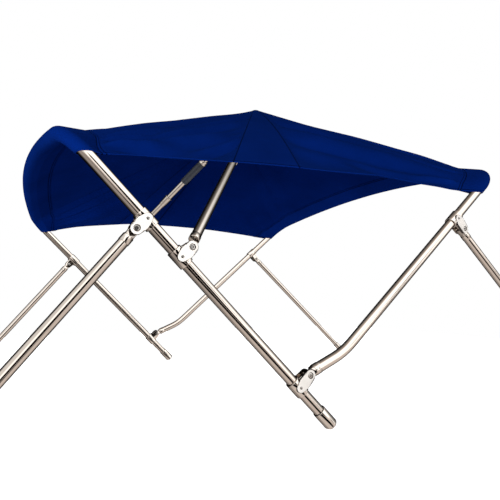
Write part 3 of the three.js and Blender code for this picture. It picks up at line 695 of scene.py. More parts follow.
def combine(piece, other, operation, finishes="INDEX"):
    """Joins another piece to this one, or cuts it out, and clears it away."""
    take(piece)
    modifier = piece.modifiers.new("combine", "BOOLEAN")
    modifier.operation = operation
    modifier.solver = "EXACT"
    modifier.object = other
    modifier.material_mode = finishes
    bpy.ops.object.modifier_apply(modifier=modifier.name)
    clear_away(other)
    take(piece)
    return piece


def hollow_cylinder(bore, wall, length, rim, sides=48):
    """A sleeve round Z with rounded rims, bored right through between two insets."""
    half = length / 2
    piece = add_cylinder(bore + wall, length, sides=sides)
    for level in (half, -half):
        bevel_rim(piece, 2, level, rim, 3)
    choose(piece, "FACE", lambda centre, normal: abs(abs(centre.z) - half) < NEAR and abs(normal.z) > FACING)
    bpy.ops.mesh.inset(thickness=(wall - rim) * MM)
    bpy.ops.mesh.bridge_edge_loops()
    leave_edit()
    return piece


def stretch_side(disc, side, place, share):
    """Draws half of a disc's rim out to a flat face at a place, and scales its height by a share."""
    choose(disc, "VERT", lambda point: point.x * side > NEAR)
    bpy.ops.transform.resize(value=(0, 1, share), center_override=[level * MM for level in place])
    leave_edit()


def hull_of(*pieces):
    """Joins pieces and draws a skin tight round them. Leaves the skin in edit mode."""
    take(*pieces)
    bpy.ops.object.join()
    edit_whole()
    bpy.ops.mesh.convex_hull()
    return bpy.context.object


def put(piece, place, turn=(0, 0, 0)):
    """Turns a piece about its origin and moves it to its place, in millimetres."""
    piece.rotation_euler = turn
    piece.location = place * MM
    apply_place(piece)
    return piece


def raised(piece, height):
    return put(piece, Vector((0, 0, height)))


def copy_of(piece):
    take(piece)
    bpy.ops.object.duplicate()
    return bpy.context.object


def pair(piece, name, material, node):
    """Finishes the port piece and its mirrored copy to starboard."""
    other = copy_of(piece)
    bpy.ops.transform.resize(value=(1, -1, 1), center_override=(0, 0, 0))
    apply_place(other)
    face_outward()
    finish_piece(piece, f"{name}_port", material, [f"{node}_port"])
    finish_piece(other, f"{name}_starboard", material, [f"{node}_starboard"])


# Feet: a cup with a rounded end, cut flat where it stands


def make_foot(name, radius, foot, end, angle):
    length = foot["length"]
    piece = add_cylinder(radius + FOOT_WALL, length, (0, 0, length / 2), sides=FINE_SIDES)
    bevel_rim(piece, 2, 0, FOOT_ROUNDING, 7)
    bevel_rim(piece, 2, length, FOOT_RIM, 3)
    strip = length - FOOT_RIM_STRIP
    choose(piece, "FACE", lambda centre, normal: normal.z > FACING and centre.z > strip)
    bpy.ops.mesh.inset(thickness=(FOOT_WALL - FOOT_RIM - CLEARANCE) * MM)
    extrude(Vector((0, 0, -foot["bore"])))
    leave_edit()
    put(piece, end, (0, radians(90 - angle), 0))
    edit_whole()
    bpy.ops.mesh.bisect(plane_co=(0, 0, 0), plane_no=(0, 0, 1), use_fill=True, clear_inner=True)
    leave_edit()
    pair(piece, name, cast_steel, name)


def make_feet():
    make_foot("main_bow_foot", BOW_RADIUS, FOOT, MAIN_BASE, MAIN_ANGLE)
    for name, hinge, angle in BRACES:
        make_foot(f"{name}_foot", SLIM_RADIUS, BRACE_FOOT, brace_end(hinge, angle), angle + 180)


# Jaw slides. X points from the leg to the bolt, Y across the boat, and the bolt is at the origin.

SLIDE_LENGTH = 50.0
SLIDE_WALL = 3.7
SLIDE_RIM = 1.2
JAW_HALF = 10.3
EAR_END = 15.0
EAR_ROOT = 20.0
EAR_ROOT_FROM_LEG = 13.4
EAR_THICK = 3.6
EAR_RIM = 0.7
EAR_FACE = JAW_HALF + EAR_THICK
LUG_INNER = JAW_HALF + 1.0
LUG_FACE = 21.1
LUG_BEND = 1.4
LUG_END = 16.5
LUG_WAIST = 18.0
LUG_WAIST_FROM_LEG = 16.0
LUG_FOOT = 13.5
LUG_RIM = 1.0
LUG_FLAT = 0.97  # a normal's share along Y on the polished outer face
SEAT_ROOM = 0.9
SCREW_ROOM = 0.6
SEAT_CUT = 20.0
BOLT_CUT = 80.0
SCREW_CUT = 30.0
SCREW_CUT_OUT = 25.0

BOLT_HEAD = 8.0
BOLT_HEAD_HEIGHT = 5.0
BOLT_SOCKET = 4.0
BOLT_SHANK = 4.0
NUT_HEIGHT = 6.0
SOCKET_DEPTH = 3.0
SCREW_RADIUS = 3.6
SCREW_STANDS_OUT = 1.8
SCREW_SOCKET = 1.9
SCREW_SOCKET_DEPTH = 2.0


def disc_across(radius, depth, x, y, sides=DISC_SIDES):
    """A cylinder along Y, centred at a place."""
    return add_cylinder(radius, depth, (x, y, 0), ALONG_Y, sides)


def make_lug(offset):
    """The oval outer face, with the bolt at one end, the set screw at the other and a slight bend between."""
    places = (
        (0, LUG_END, LUG_FACE - LUG_BEND),
        (LUG_WAIST_FROM_LEG - offset, LUG_WAIST, LUG_FACE),
        (-offset, LUG_FOOT, LUG_FACE),
    )
    discs = []
    for x, radius, face in places:
        depth = face - LUG_INNER
        discs.append(disc_across(radius, depth, x, -LUG_INNER - depth / 2))
    piece = hull_of(*discs)
    bpy.ops.mesh.select_all(action="SELECT")
    bpy.ops.mesh.dissolve_limited(angle_limit=radians(1.5))
    choose(piece, "EDGE", lambda a, b: max(a.y, b.y) < LUG_BEND + 0.1 - LUG_FACE)
    bevel_chosen(LUG_RIM, 3)
    # The flat outer face takes the plate steel. Every other face takes the near-black rim steel, a painted
    # dark outline of shade.
    for finish in (plate_steel, lug_rim_painted_shade):
        piece.data.materials.append(finish)
    for face in piece.data.polygons:
        face.material_index = 0 if face.normal.y < -LUG_FLAT else 1
    return piece


def make_ear(offset, side):
    middle = side * (JAW_HALF + EAR_THICK / 2)
    piece = disc_across(EAR_END, EAR_THICK, 0, middle, FINE_SIDES)
    stretch_side(piece, -1, (EAR_ROOT_FROM_LEG - offset, middle, 0), EAR_ROOT / EAR_END)
    bevel_rim(piece, 1, side * EAR_FACE, EAR_RIM, 2)
    return piece


def make_slide(offset):
    bore = BOW_RADIUS + CLEARANCE
    piece = hollow_cylinder(bore, SLIDE_WALL, SLIDE_LENGTH, SLIDE_RIM, FINE_SIDES)
    put(piece, Vector((-offset, 0, 0)))
    piece.data.materials.append(cast_steel)
    for side in (-1, 1):
        combine(piece, make_ear(offset, side), "UNION")
    combine(piece, make_lug(offset), "UNION", "TRANSFER")
    rooms = (
        lambda: disc_across(BOLT_HEAD + SEAT_ROOM, SEAT_CUT, 0, -EAR_FACE - SEAT_CUT / 2),
        lambda: add_cylinder(bore, 3 * SLIDE_LENGTH, (-offset, 0, 0), sides=FINE_SIDES),
        lambda: disc_across(BOLT_SHANK + CLEARANCE, BOLT_CUT, 0, 0, HOLE_SIDES),
        lambda: disc_across(SCREW_RADIUS + SCREW_ROOM, SCREW_CUT, -offset, -SCREW_CUT_OUT, HOLE_SIDES),
    )
    for room in rooms:
        combine(piece, room(), "DIFFERENCE")
    return piece


# Eye ends: a tongue between the ears, and a collar against the tube that can lean out of the tongue's plane

TONGUE_THICK = 20.0
TONGUE_END = 13.0
TONGUE_NECK = 16.0
TONGUE_RIM = 1.0
COLLAR_WALL = 1.0
THROAT_IN = 1.5  # how far the throat between the two keeps inside them
THROAT_PLATE = 0.5
EYE_CUT = 60.0


def make_eye(radius, start, stop, lean):
    outer = radius + COLLAR_WALL
    axis = Vector((cos(radians(lean)), sin(radians(lean)), 0))
    along = (0, pi / 2, radians(lean))
    length = stop - start
    collar = add_cylinder(outer, length, (0, 0, length / 2))
    bevel_rim(collar, 2, 0, 1.5, 4)
    bevel_rim(collar, 2, length, 0.6, 2)
    put(collar, axis * start, along)
    tongue = disc_across(TONGUE_END, TONGUE_THICK, 0, 0, FINE_SIDES)
    stretch_side(tongue, 1, (TONGUE_NECK, 0, 0), (TONGUE_END - 1) / TONGUE_END)
    for level in (TONGUE_THICK / 2, -TONGUE_THICK / 2):
        bevel_rim(tongue, 1, level, TONGUE_RIM, 2)
    throat = add_cylinder(outer - THROAT_IN, THROAT_PLATE, axis * (start + 0.3), along)
    bpy.ops.mesh.primitive_cube_add(size=1, location=((TONGUE_NECK - THROAT_PLATE) * MM, 0, 0))
    block = bpy.context.object
    sides = (THROAT_PLATE, TONGUE_THICK - 1, 2 * (TONGUE_END - THROAT_IN))
    block.scale = [side * MM for side in sides]
    apply_place(block)
    throat = hull_of(throat, block)
    leave_edit()
    combine(tongue, throat, "UNION")
    combine(tongue, collar, "UNION")
    hole = disc_across(BOLT_SHANK + CLEARANCE, EYE_CUT, 0, 0, HOLE_SIDES)
    return combine(tongue, hole, "DIFFERENCE")


def make_bolt():
    """A round head with a socket to port, and a nut to starboard."""
    outside = EAR_FACE + CLEARANCE
    top = -outside - BOLT_HEAD_HEIGHT
    head = disc_across(BOLT_HEAD, BOLT_HEAD_HEIGHT, 0, -outside - BOLT_HEAD_HEIGHT / 2)
    bevel_rim(head, 1, top, 2.0, 4)
    combine(head, disc_across(BOLT_SOCKET, 2 * SOCKET_DEPTH, 0, top, HEX_SIDES), "DIFFERENCE")
    combine(head, disc_across(BOLT_SHANK, 2 * outside + 1, 0, 0, HOLE_SIDES), "UNION")
    nut = disc_across(BOLT_HEAD, NUT_HEIGHT, 0, outside + NUT_HEIGHT / 2, HEX_SIDES)
    bevel_rim(nut, 1, outside + NUT_HEIGHT, 0.8, 2)
    return combine(head, nut, "UNION")


def make_screw():
    """A set screw in the side of a slide, with the leg's axis at the origin."""
    bottom = BOW_RADIUS + 2 * CLEARANCE
    top = BOW_RADIUS + CLEARANCE + SLIDE_WALL + SCREW_STANDS_OUT
    piece = disc_across(SCREW_RADIUS, top - bottom, 0, -(top + bottom) / 2, HOLE_SIDES)
    bevel_rim(piece, 1, -top, 0.6, 2)
    socket = disc_across(SCREW_SOCKET, 2 * SCREW_SOCKET_DEPTH, 0, -top, HEX_SIDES)
    return combine(piece, socket, "DIFFERENCE")


def make_joints():
    slides = {offset: make_slide(offset) for offset in (SECOND_HINGE[1], MIDDLE_HINGE[1])}
    bow_eye = make_eye(BOW_RADIUS, COLLAR_FROM, COLLAR_TO, 0)
    slim_eye = make_eye(SLIM_RADIUS, COLLAR_FROM, COLLAR_TO, 0)
    middle_eye = make_eye(SLIM_RADIUS, LEANING_COLLAR_FROM, LEANING_COLLAR_TO, MIDDLE_LEAN)
    bolt = make_bolt()
    screw = make_screw()
    joints = (
        ("second_bow", second_hinge, MAIN_ANGLE - 90, SECOND_HINGE[1], bow_eye, SECOND_RUN_ANGLE),
        ("middle_bow", middle_hinge, MAIN_ANGLE - 90, MIDDLE_HINGE[1], middle_eye, MIDDLE_ANGLE),
        (*BRACES[0][:2], MAIN_ANGLE + 90, MAIN_BRACE_HINGE[1], slim_eye, MAIN_BRACE_ANGLE),
        (*BRACES[1][:2], SECOND_ANGLE - 90, SECOND_BRACE_HINGE[1], slim_eye, SECOND_BRACE_ANGLE),
    )
    for name, hinge, jaw, offset, eye, angle in joints:
        leg = hinge - direction(jaw) * offset
        kinds = (
            (slides[offset], hinge, jaw, "jaw_slide", None, "fitting", "slide"),
            (eye, hinge, angle, "eye_end", cast_steel, "fitting", "eye"),
            (bolt, hinge, jaw, "pivot_bolt", bolt_steel, "fastener", "bolt"),
            (screw, leg, jaw, "set_screw", bolt_steel, "fastener", "screw"),
        )
        for model, place, turn, title, material, slot, node in kinds:
            piece = put(copy_of(model), place, (0, -radians(turn), 0))
            pair(piece, f"{name}_{title}", material, f"{name}_{node}")
    clear_away(*slides.values(), bow_eye, slim_eye, middle_eye, bolt, screw)


# Pieces threaded on the middle bow's legs

SLIM_BORE = SLIM_RADIUS + CLEARANCE
JOINING_SLEEVE = {"from": 551.0, "to": 607.0, "wall": 3.4}
SLEEVE_TAIL = {"length": 17.0, "overlap": 1.0, "wall": 1.9}
SLEEVE_LIP = {"length": 5.0, "wall": 4.6}
SLEEVE_KNOB = {"radius": 4.4, "height": 6.0, "out": 4.2, "up": 24.0}
GRIP = {"from": 718.0, "to": 852.0, "wall": 4.4}
GRIP_RINGS = {"from_end": (9.0, 14.0), "depth": 0.9, "width": 2.0}
STOP_RING = {"from": 853.0, "to": 874.0, "wall": 7.0, "upper_wall": 4.6, "lower": 0.45, "upper": 0.6}


def thread_on(piece, start):
    """Stands a piece, made from Z = 0 up, on the port leg at a distance from the hinge bolt."""
    point, tangent = middle_bow.at(start - middle_bow.hinge)
    return put(piece, point, turn_to(tangent))


def slim_ring(wall, length, rim, middle, sides=FINE_SIDES):
    """A ring that fits the slim tube, round Z, with its middle at a height."""
    return raised(hollow_cylinder(SLIM_BORE, wall, length, rim, sides), middle)


def make_joining_sleeve():
    length = JOINING_SLEEVE["to"] - JOINING_SLEEVE["from"]
    low = SLEEVE_TAIL["length"]
    body = slim_ring(JOINING_SLEEVE["wall"], length - low, 0.8, low + (length - low) / 2, 48)
    overlapping = low + SLEEVE_TAIL["overlap"]
    combine(body, slim_ring(SLEEVE_TAIL["wall"], overlapping, 0.7, overlapping / 2, 48), "UNION")
    lip = SLEEVE_LIP["length"]
    combine(body, slim_ring(SLEEVE_LIP["wall"], lip, 1.2, length - lip / 2, 48), "UNION")
    out = -SLIM_BORE - SLEEVE_KNOB["out"]
    height = SLEEVE_KNOB["height"]
    knob = add_cylinder(SLEEVE_KNOB["radius"], height, (0, out, SLEEVE_KNOB["up"]), ALONG_Y, 28)
    bevel_rim(knob, 1, out - height / 2, 1.2, 3)
    combine(body, knob, "UNION")
    return thread_on(body, JOINING_SLEEVE["from"])


def make_grip():
    """A moulded hand grip with shallow rings at its ends."""
    half = (GRIP["to"] - GRIP["from"]) / 2
    body = slim_ring(GRIP["wall"], 2 * half, 2.0, 0)
    floor = SLIM_BORE + GRIP["wall"] - GRIP_RINGS["depth"]
    outer, inner = GRIP_RINGS["from_end"]
    for level in (outer - half, inner - half, half - inner, half - outer):
        groove = hollow_cylinder(floor, 3.0, GRIP_RINGS["width"], 0.5, FINE_SIDES)
        combine(body, raised(groove, level), "DIFFERENCE")
    raised(body, half)
    return thread_on(body, GRIP["from"])


def make_stop_ring():
    """A thick lower part and a thinner upper one, which overlap a little."""
    length = STOP_RING["to"] - STOP_RING["from"]
    lower = length * STOP_RING["lower"]
    upper = length * STOP_RING["upper"]
    body = slim_ring(STOP_RING["wall"], lower, 2.2, lower / 2)
    combine(body, slim_ring(STOP_RING["upper_wall"], upper, 1.6, length - upper / 2), "UNION")
    return thread_on(body, STOP_RING["from"])


def make_threaded_pieces():
    pair(make_joining_sleeve(), "joining_sleeve_body", cast_steel, "joining_sleeve")
    pair(make_grip(), "hand_grip", grip_plastic, "grip_sleeve")
    pair(make_stop_ring(), "stop_collar", cast_steel, "stop_ring")


make_feet()
make_joints()
make_threaded_pieces()

# Canopy: one sheet from pocket to pocket, on the cross curves of the solids at a finer step


def between(stops, values, place):
    """The value at a place between stops. Beyond the last ones it stays as it is there."""
    after = 1
    while after < len(stops) - 1 and place > stops[after]:
        after += 1
    share = (place - stops[after - 1]) / (stops[after] - stops[after - 1])
    return mix(values[after - 1], values[after], clamp(share))


def across(marks, u):
    """Distance along a bow from its middle to a place along a column, less than 0 to port."""
    distance = between(PART_MARKS, marks, abs(u))
    return -distance if u < 0 else distance


def flank_share(u):
    return clamp((abs(u) - PART_MARKS[2]) / (1 - PART_MARKS[2]))


def hem_height(x, side):
    """Height of the hem above the deck."""
    return between(HEM_AT, HEM_PORT if side < 0 else HEM_STARBOARD, x - MAIN_BASE.x)


def over_tube(distance):
    """The ridge piece over the middle bow's tube: at its main seam, its middle and its second seam."""
    point, tangent = middle_bow.at(distance)
    normal = (Vector((0, 0, 1)) - tangent * tangent.z).normalized()
    along = tangent.cross(normal)
    middle = point + normal * (SLIM_RADIUS + RIDGE["gap"] + 1.0)
    return [
        middle - along * RIDGE["seam"] - normal * RIDGE["main_drop"],
        middle,
        middle + along * RIDGE["seam"] - normal * RIDGE["second_drop"],
    ]


def ridge_at(u):
    """The ridge piece at a place along its columns: over the tube, and below it fanned out to the hem."""
    side = -1 if u < 0 else 1
    hip = MIDDLE_BEND * radians(RIDGE_HIP)
    if abs(u) <= PART_MARKS[2]:
        return over_tube(across((0.0, MIDDLE_BEND * radians(RIDGE_SHOULDER), hip, hip), u))
    flank = flank_share(u)
    places = (RIDGE_HEM[0], (RIDGE_HEM[0] + RIDGE_HEM[1]) / 2, RIDGE_HEM[1])
    out = Vector((0, side, 1)).normalized() * (RIDGE_BULGE * sin(pi * flank))
    points = []
    for start, place in zip(over_tube(side * hip), places):
        x = MAIN_BASE.x + place
        points.append(start.lerp(Vector((x, side * LEG_PLANE, hem_height(x, side))), flank) + out)
    return points


def pocket_at(bow, pocket, u, toward):
    """A row's frame at an end bow, drawn to a seam of the ridge, and its distance along the bow."""
    crown, bend = bow.arcs
    top = crown[0] * crown[1]
    hip = top + bend[0] * (radians(pocket["hip"]) - crown[1])
    place = across((0.0, top, hip, bow.arc_length + pocket["past_bend"]), u)
    point, tangent = bow.at(place)
    pull = toward - point
    slip = pull.dot(tangent)
    inward = pull - tangent * slip
    shear = slip / inward.length
    inward.normalize()
    normal = tangent.cross(inward)
    if inward.x > 0:
        normal.negate()
    width = mix(pocket["at_top"], pocket["at_hem"], smooth(flank_share(u)))
    return (point, normal, inward + tangent * shear, width), place


def pocket_line(point, normal, line, width, from_hem):
    """The cloth round an end bow at one row, from its inner edge round the tube to the seam."""
    radius = BOW_RADIUS + POCKET_EASE
    stitch = width - STITCHED
    end = width - SEAM_GAP
    half = mix(LAYERS_AT_HEM, LAYERS_ABOVE, smooth((from_hem - LAYERS_FROM) / LAYERS_OVER))
    open_angle = acos(radius / hypot(stitch, half)) + atan2(half, stitch)
    touch = (radius * cos(open_angle), radius * sin(open_angle))
    layer = [(mix(stitch, end, share), half) for share in reversed(STITCHED_STEPS)]
    for i in range(1, POCKET_FLAT_STEPS):
        share = i / POCKET_FLAT_STEPS
        layer.append((mix(stitch, touch[0], share), mix(half, touch[1], share)))
    places = [(along, -out) for along, out in layer]
    for i in range(POCKET_ARC_STEPS + 1):
        angle = mix(2 * pi - open_angle, open_angle, i / POCKET_ARC_STEPS)
        places.append((radius * cos(angle), radius * sin(angle)))
    places += reversed(layer)
    return [point + line * along + normal * out for along, out in places]


def fold_lift(folds, u, v):
    """Height of the folds at a place on a panel. A fold widens along its run and fades at both ends."""
    lift = 0.0
    for start, end, width, height in folds:
        run = Vector(end) - Vector(start)
        reach = Vector((u, v)) - Vector(start)
        along = reach.dot(run) / run.length_squared
        off = (reach - run * along).length / (width * mix(*FOLD_WIDENS, clamp(along)))
        rise = smooth((along - FOLD_RISES[0]) / FOLD_RISES[1])
        fall = smooth((along - FOLD_FALLS[0]) / FOLD_FALLS[1])
        lift += height * (rise * (1 - fall)) * exp(-off * off)
    return lift


def pucker_lift(place, v):
    """Small gathers beside a seam, uneven along it."""
    lift = 0.0
    for wave, reach, height in PUCKERS:
        uneven = 0.6 + 0.4 * sin(place / PUCKER_UNEVEN + wave)
        wobble = sin(2 * pi * place / wave + sin(place / PUCKER_DRIFT))
        lift += height * uneven * wobble * exp(-v / reach)
    return lift


def panel_line(start, end, u, place, sag, folds):
    """A panel's cloth at one row, between a pocket's seam and a seam of the ridge, both left out."""
    side = -1 if u < 0 else 1
    flank = flank_share(u)
    out = Vector((0, side * flank, 1)).normalized()
    points = []
    for j in range(1, PANEL_STEPS):
        v = j / PANEL_STEPS
        point = start.lerp(end, v)
        level = hem_height(point.x, side) - point.z
        blend = clamp(sin(pi * v) ** 0.5 * max(0.0, flank * 2 - 1) ** 2)
        point.z += level * blend - sag * 4 * v * (1 - v) * (1 - flank)
        held = smooth(v / SEAM_HOLD) * smooth((1 - v) / SEAM_HOLD)
        lift = fold_lift(folds, u, v) + pucker_lift(place, v)
        lift += RIDGE_PUCKERS * pucker_lift(place * RIDGE_PUCKER_PACE, 1 - v)
        points.append(point + out * (lift * held))
    return points


def half_row(bow, pocket, u, seam, from_hem, sag, folds):
    """A row's pocket and panel, from the pocket's inner edge to a seam of the ridge."""
    row_frame, place = pocket_at(bow, pocket, u, seam)
    line = pocket_line(*row_frame, from_hem)
    return line + panel_line(line[-1], seam, u, place, sag, folds)


def ridge_line(ridge):
    main, middle, second = ridge
    lift = middle - main.lerp(second, 0.5)
    shares = [j / RIDGE_STEPS for j in range(RIDGE_STEPS + 1)]
    return [main.lerp(second, v) + lift * (4 * v * (1 - v)) for v in shares]


def row_places():
    """Places of the rows from hem to hem, -1 to 1."""
    half = []
    for part, count in enumerate(ROW_COUNTS):
        for i in range(count):
            half.append(mix(PART_MARKS[part], PART_MARKS[part + 1], i / count))
    half.append(1.0)
    return [-u for u in reversed(half[1:])] + half


def canopy_rows():
    rows = []
    for u in row_places():
        ridge = ridge_at(u)
        main_up = (1 - flank_share(u)) * MAIN_FLANK
        second_up = main_up * SECOND_FLANK_SHARE
        main = half_row(main_bow, MAIN_POCKET, u, ridge[0], main_up, MAIN_SAG, MAIN_FOLDS)
        second = half_row(second_bow, SECOND_POCKET, u, ridge[2], second_up, SECOND_SAG, SECOND_FOLDS)
        rows.append(main + ridge_line(ridge) + second[::-1])
    return rows


def at_distance(points, distance):
    for a, b in zip(points, points[1:]):
        length = (b - a).length
        if distance <= length:
            return a.lerp(b, distance / length)
        distance -= length
    return points[-1].copy()


def part_way(a, b, distance):
    """The point at a distance from a on the way to b, at most a third of the way."""
    length = (b - a).length
    return a.lerp(b, min(distance, length / 3) / length)


def sink(rows, i, j):
    """Pulls a point into the cloth as stitches do."""
    across_rows = rows[i + 1][j] - rows[i - 1][j]
    along_row = rows[i][j + 1] - rows[i][j - 1]
    rows[i][j] -= along_row.cross(across_rows).normalized() * STITCH_DEPTH


def pull_in_seams(rows):
    """Makes a furrow at each stitched column. Gives the rows, and how deep in a furrow each column lies."""
    spread = len(FURROW_STEPS) - 1
    for row in rows:
        for j in reversed(SEAM_COLUMNS):
            furrow = []
            for step in FURROW_STEPS:
                beside = row[j - 1] if step > 0 else row[j + 1]
                furrow.append(part_way(row[j], beside, abs(step) * STITCH_WIDTH))
            row[j:j + 1] = furrow
    stitched = [0.0] * len(rows[0])
    for order, j in enumerate(SEAM_COLUMNS):
        middle = j + spread * order + spread // 2
        for i in range(1, len(rows) - 1):
            sink(rows, i, middle)
        # 1 at a furrow's middle for the dark thread, less on its sides for painted shade.
        stitched[middle] = 1.0
        stitched[middle - 1] = stitched[middle + 1] = BESIDE_STITCHES
    return rows, stitched


def stitch_hem(rows):
    """Puts close rows where the hem at the last row is stitched."""
    edge = rows[-1]
    columns = [[row[j] for row in reversed(rows[-4:])] for j in range(len(edge))]
    added = []
    for step in FURROW_STEPS:
        added.append([at_distance(column, HEM_STITCH + step * STITCH_WIDTH) for column in columns])
    return rows[:-3] + added + [edge]


def turn_hem(rows, outward):
    """Adds the folded edge to the last row: round a tight turn and back up inside the cloth."""
    edge = rows[-1]
    folded = [[], [], [], []]
    for j in range(len(edge)):
        column = [row[j] for row in reversed(rows[-HEM_REACH:])]
        left = edge[max(j - 1, 0)]
        right = edge[min(j + 1, len(edge) - 1)]
        down = (edge[j] - column[-1]).normalized()
        normal = (right - left).cross(down).normalized() * outward
        folded[0].append(edge[j] + down * HEM_ROUND - normal * HEM_FOLD / 2)
        for layer, distance in ((1, HEM_TURN), (2, HEM_DEPTH / 2), (3, HEM_DEPTH)):
            folded[layer].append(at_distance(column, distance) - normal * HEM_FOLD)
    return rows + folded


def sewn_rows():
    """The rows with their furrows and turned hems, and how deep in a furrow each column lies."""
    rows, stitched = pull_in_seams(canopy_rows())
    for _ in range(2):
        rows = stitch_hem(rows)[::-1]
    for outward in (1, -1):
        rows = turn_hem(rows, outward)[::-1]
    for i in (HEM_ROW, len(rows) - 1 - HEM_ROW):
        for j in range(1, len(stitched) - 1):
            sink(rows, i, j)
    return rows, stitched


def mark_stitches(piece, count, columns, stitched):
    """Marks the furrows, painted near black as dark thread and painted shade, and gives the main pocket's
    turned-under layer the darker canvas of painted shade.
    """
    mark = piece.data.attributes.new("stitched", "FLOAT", "POINT")
    one_side = count * columns
    hem_rows = {}
    for row in (HEM_ROW, count - 1 - HEM_ROW):
        hem_rows.update({row: 1.0, row - 1: BESIDE_STITCHES, row + 1: BESIDE_STITCHES})
    for index in range(len(piece.data.vertices)):
        i, j = divmod(index % one_side, columns)
        mark.data[index].value = max(stitched[j], hem_rows.get(i, 0.0))
    # The turned-under layer takes the darker canvas: painted shade.
    for face in piece.data.polygons:
        if max(index % one_side % columns for index in face.vertices) <= LOWER_LAYER:
            face.material_index = 1


def make_canopy():
    rows, stitched = sewn_rows()
    down = len(rows) - 1
    along = len(stitched) - 1
    bpy.ops.mesh.primitive_grid_add(x_subdivisions=along, y_subdivisions=down, size=2.0, calc_uvs=True)
    piece = bpy.context.object
    for vertex, point in zip(piece.data.vertices, chain(*rows)):
        vertex.co = point * MM
    layer = piece.data.uv_layers.active.data
    for loop in piece.data.loops:
        i, j = divmod(loop.vertex_index, len(stitched))
        layer[loop.index].uv = (j / along * CANOPY_LENGTH, i / down * CANOPY_WIDTH)
    face_outward()
    thick = piece.modifiers.new("thickness", "SOLIDIFY")
    thick.thickness = CLOTH_THICK * MM
    thick.offset = 0.0
    # The inner shell takes the second, darker canvas: painted shade under the canopy.
    thick.material_offset = 1
    for finish in (canopy_canvas, canopy_painted_shade):
        piece.data.materials.append(finish)
    bpy.ops.object.modifier_apply(modifier=thick.name)
    mark_stitches(piece, len(rows), len(stitched), stitched)
    nodes = ["main_pocket", "main_panel", "ridge_panel", "second_panel", "second_pocket"]
    finish_piece(piece, "canopy", None, nodes, 180)
    piece.visible_glossy = False


make_canopy()

# Floor, light and camera

WHITE = (1.0, 1.0, 1.0, 1.0)


def make_floor():
    bpy.ops.mesh.primitive_plane_add(size=5.4, location=(0, 0.1, -0.001))
    floor = bpy.context.object
    floor.name = "floor"
    material, shading, shader = new_finish("floor")
    shading.set(shader, {
        "Base Color": shading.ramp(shading.noise(3.0, 3.0), ((0.3, (0.46,) * 3), (0.7, (0.49,) * 3))),
        "Roughness": 0.9,
        "Specular IOR Level": 0.1,
        "Emission Color": WHITE,
        "Emission Strength": 0.86,
    })
    floor.data.materials.append(material)
    floor.visible_glossy = False
    apply_place(floor)


# What the steel mirrors. Each side of it is given as tones at places from -1 to 1 along an axis.

TENT = (
    (-1.0, (0.40, 0.365, 0.345)),
    (-0.15, (0.46, 0.42, 0.40)),
    (-0.08, (1, 1, 1)),
    (0.87, (1, 1, 1)),
    (0.93, (0.48, 0.45, 0.43)),
    (0.96, (0.31, 0.28, 0.26)),
    (1.0, (0.19, 0.17, 0.16)),
)
FAR_WALL = ((-0.02, 1), (0.06, 0.75), (0.15, 0.5), (0.3, 0.25), (0.45, 0.06), (0.6, 0.01))
NEAR_GROUND = ((-0.8, 0.5), (-0.5, 0))
ENDS = ((-0.6, 0.5), (-0.35, 1), (0.82, 1), (0.88, 0.45), (0.97, 0.2))
# Dark stands: bearing from the front in degrees, and height as the sine of the elevation, each as where it
# begins, is full, is full, and ends
DARK_STANDS = (
    ((-46, -40, 24, 36), (-0.75, -0.70, -0.42, -0.34)),
    ((-12, -7, 17, 23), (-0.36, -0.32, 0.28, 0.36)),
    ((28, 31, 37, 40), (0.11, 0.15, 0.33, 0.38)),
    ((43, 46, 51, 55), (-0.17, -0.12, 0.01, 0.05)),
)


def banded(shading, value, reach, stops):
    """A ramp over a plain value between two limits, as far below 0 as above it."""
    inputs = {"Value": value, "From Min": -reach, "From Max": reach}
    span = shading.add("MapRange", "Result", inputs)
    return shading.ramp(span, [((place + reach) / (2 * reach), tone) for place, tone in stops])


def greys(stops):
    return [(place, (tone,) * 3) for place, tone in stops]


def shutter(places):
    return greys(zip(places, (0, 1, 1, 0)))


def studio_in_the_polish(shading):
    """A white tent over a pale ground, dark stands in front and a dark wall behind."""
    around = shading.add("TexCoord", "Generated")
    axes = shading.add("SeparateXYZ", "X", {"Vector": around}).node
    x, y, z = (axes.outputs[axis] for axis in "XYZ")
    toward = shading.add("Math", "Value", {0: y, 1: -1.0}, operation="MULTIPLY")
    bearing = shading.add("Math", "Value", {0: x, 1: toward}, operation="ARCTAN2")
    lit = banded(shading, z, 1, TENT)
    for sides, levels in DARK_STANDS:
        width = banded(shading, bearing, pi, shutter(radians(angle) for angle in sides))
        height = banded(shading, z, 1, shutter(levels))
        clear = shading.add("Invert", "Color", {"Color": shading.blend("MULTIPLY", width, height)})
        lit = shading.blend("MULTIPLY", lit, clear)
    wall = banded(shading, y, 1, greys(FAR_WALL))
    ground = banded(shading, z, 1, greys(NEAR_GROUND))
    lit = shading.blend("MULTIPLY", lit, shading.blend("LIGHTEN", wall, ground))
    return shading.blend("MULTIPLY", lit, banded(shading, x, 1, greys(ENDS)))


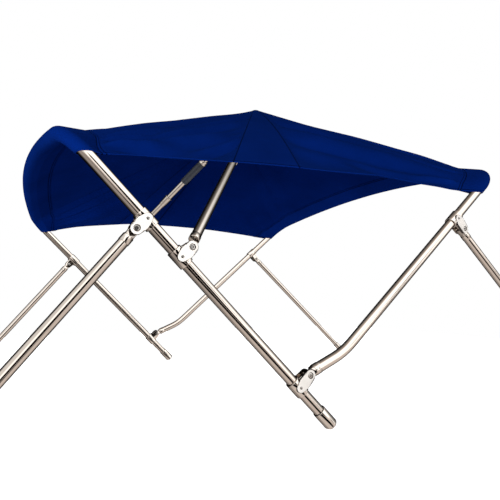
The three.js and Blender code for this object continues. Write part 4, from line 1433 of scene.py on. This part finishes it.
def make_world():
    """White to the camera, the studio in the polish, and a soft dome for the cloth."""
    world = bpy.data.worlds.new("studio")
    shading = Shading(world)
    dome = shading.nodes["Background"]
    shading.set(dome, {"Color": WHITE, "Strength": 0.3})
    mirror = {"Color": studio_in_the_polish(shading), "Strength": 2.7}
    polish = shading.add("Background", "Background", mirror)
    backdrop = shading.add("Background", "Background", {"Color": WHITE, "Strength": 1.0})
    rays = shading.add("LightPath", "Is Glossy Ray").node.outputs
    inputs = {"Fac": rays["Is Glossy Ray"], 1: dome.outputs["Background"], 2: polish}
    around = shading.add("MixShader", "Shader", inputs)
    seen = shading.add("MixShader", "Shader", {"Fac": rays["Is Camera Ray"], 1: around, 2: backdrop})
    shading.set(shading.nodes["World Output"], {"Surface": seen})
    bpy.context.scene.world = world


# Soft lights: place, what they face, size, watts and colour
LIGHTS = {
    "key": ((-2.4, -4.4, 0.3), (0, 0, 0.9), 1.5, 560, (1.0, 0.98, 0.95)),
    "fill": ((3.4, -2.5, 2.2), (0, 0, 0.6), 2.4, 40, (0.92, 0.96, 1.0)),
    "back": ((1.2, 4.6, 3.2), (0, 0.2, 0.9), 2.6, 330, (1, 1, 1)),
    "side": ((-4.6, 0.9, 1.6), (-0.9, -0.3, 0.9), 2.0, 100, (1, 1, 1)),
}


def make_lights():
    for name, (place, target, size, watts, colour) in LIGHTS.items():
        bpy.ops.object.light_add(type="AREA", location=place)
        light = bpy.context.object
        light.name = name
        light.data.size = size
        light.data.energy = watts
        light.data.color = colour
        light.visible_glossy = False
        aim = Vector(target) - Vector(place)
        light.rotation_euler = aim.to_track_quat("-Z", "Y").to_euler()


def make_camera():
    turn = (radians(95.29), 0, radians(-26.418))
    bpy.ops.object.camera_add(location=(-0.925738, -1.919598, 0.379010), rotation=turn)
    camera = bpy.context.object
    camera.name = "camera"
    camera.data.lens = 34.05
    camera.data.sensor_width = 36
    camera.data.clip_start = 0.05
    bpy.context.scene.camera = camera


bpy.context.scene.view_settings.view_transform = "Standard"
make_floor()
make_world()
make_lights()
make_camera()
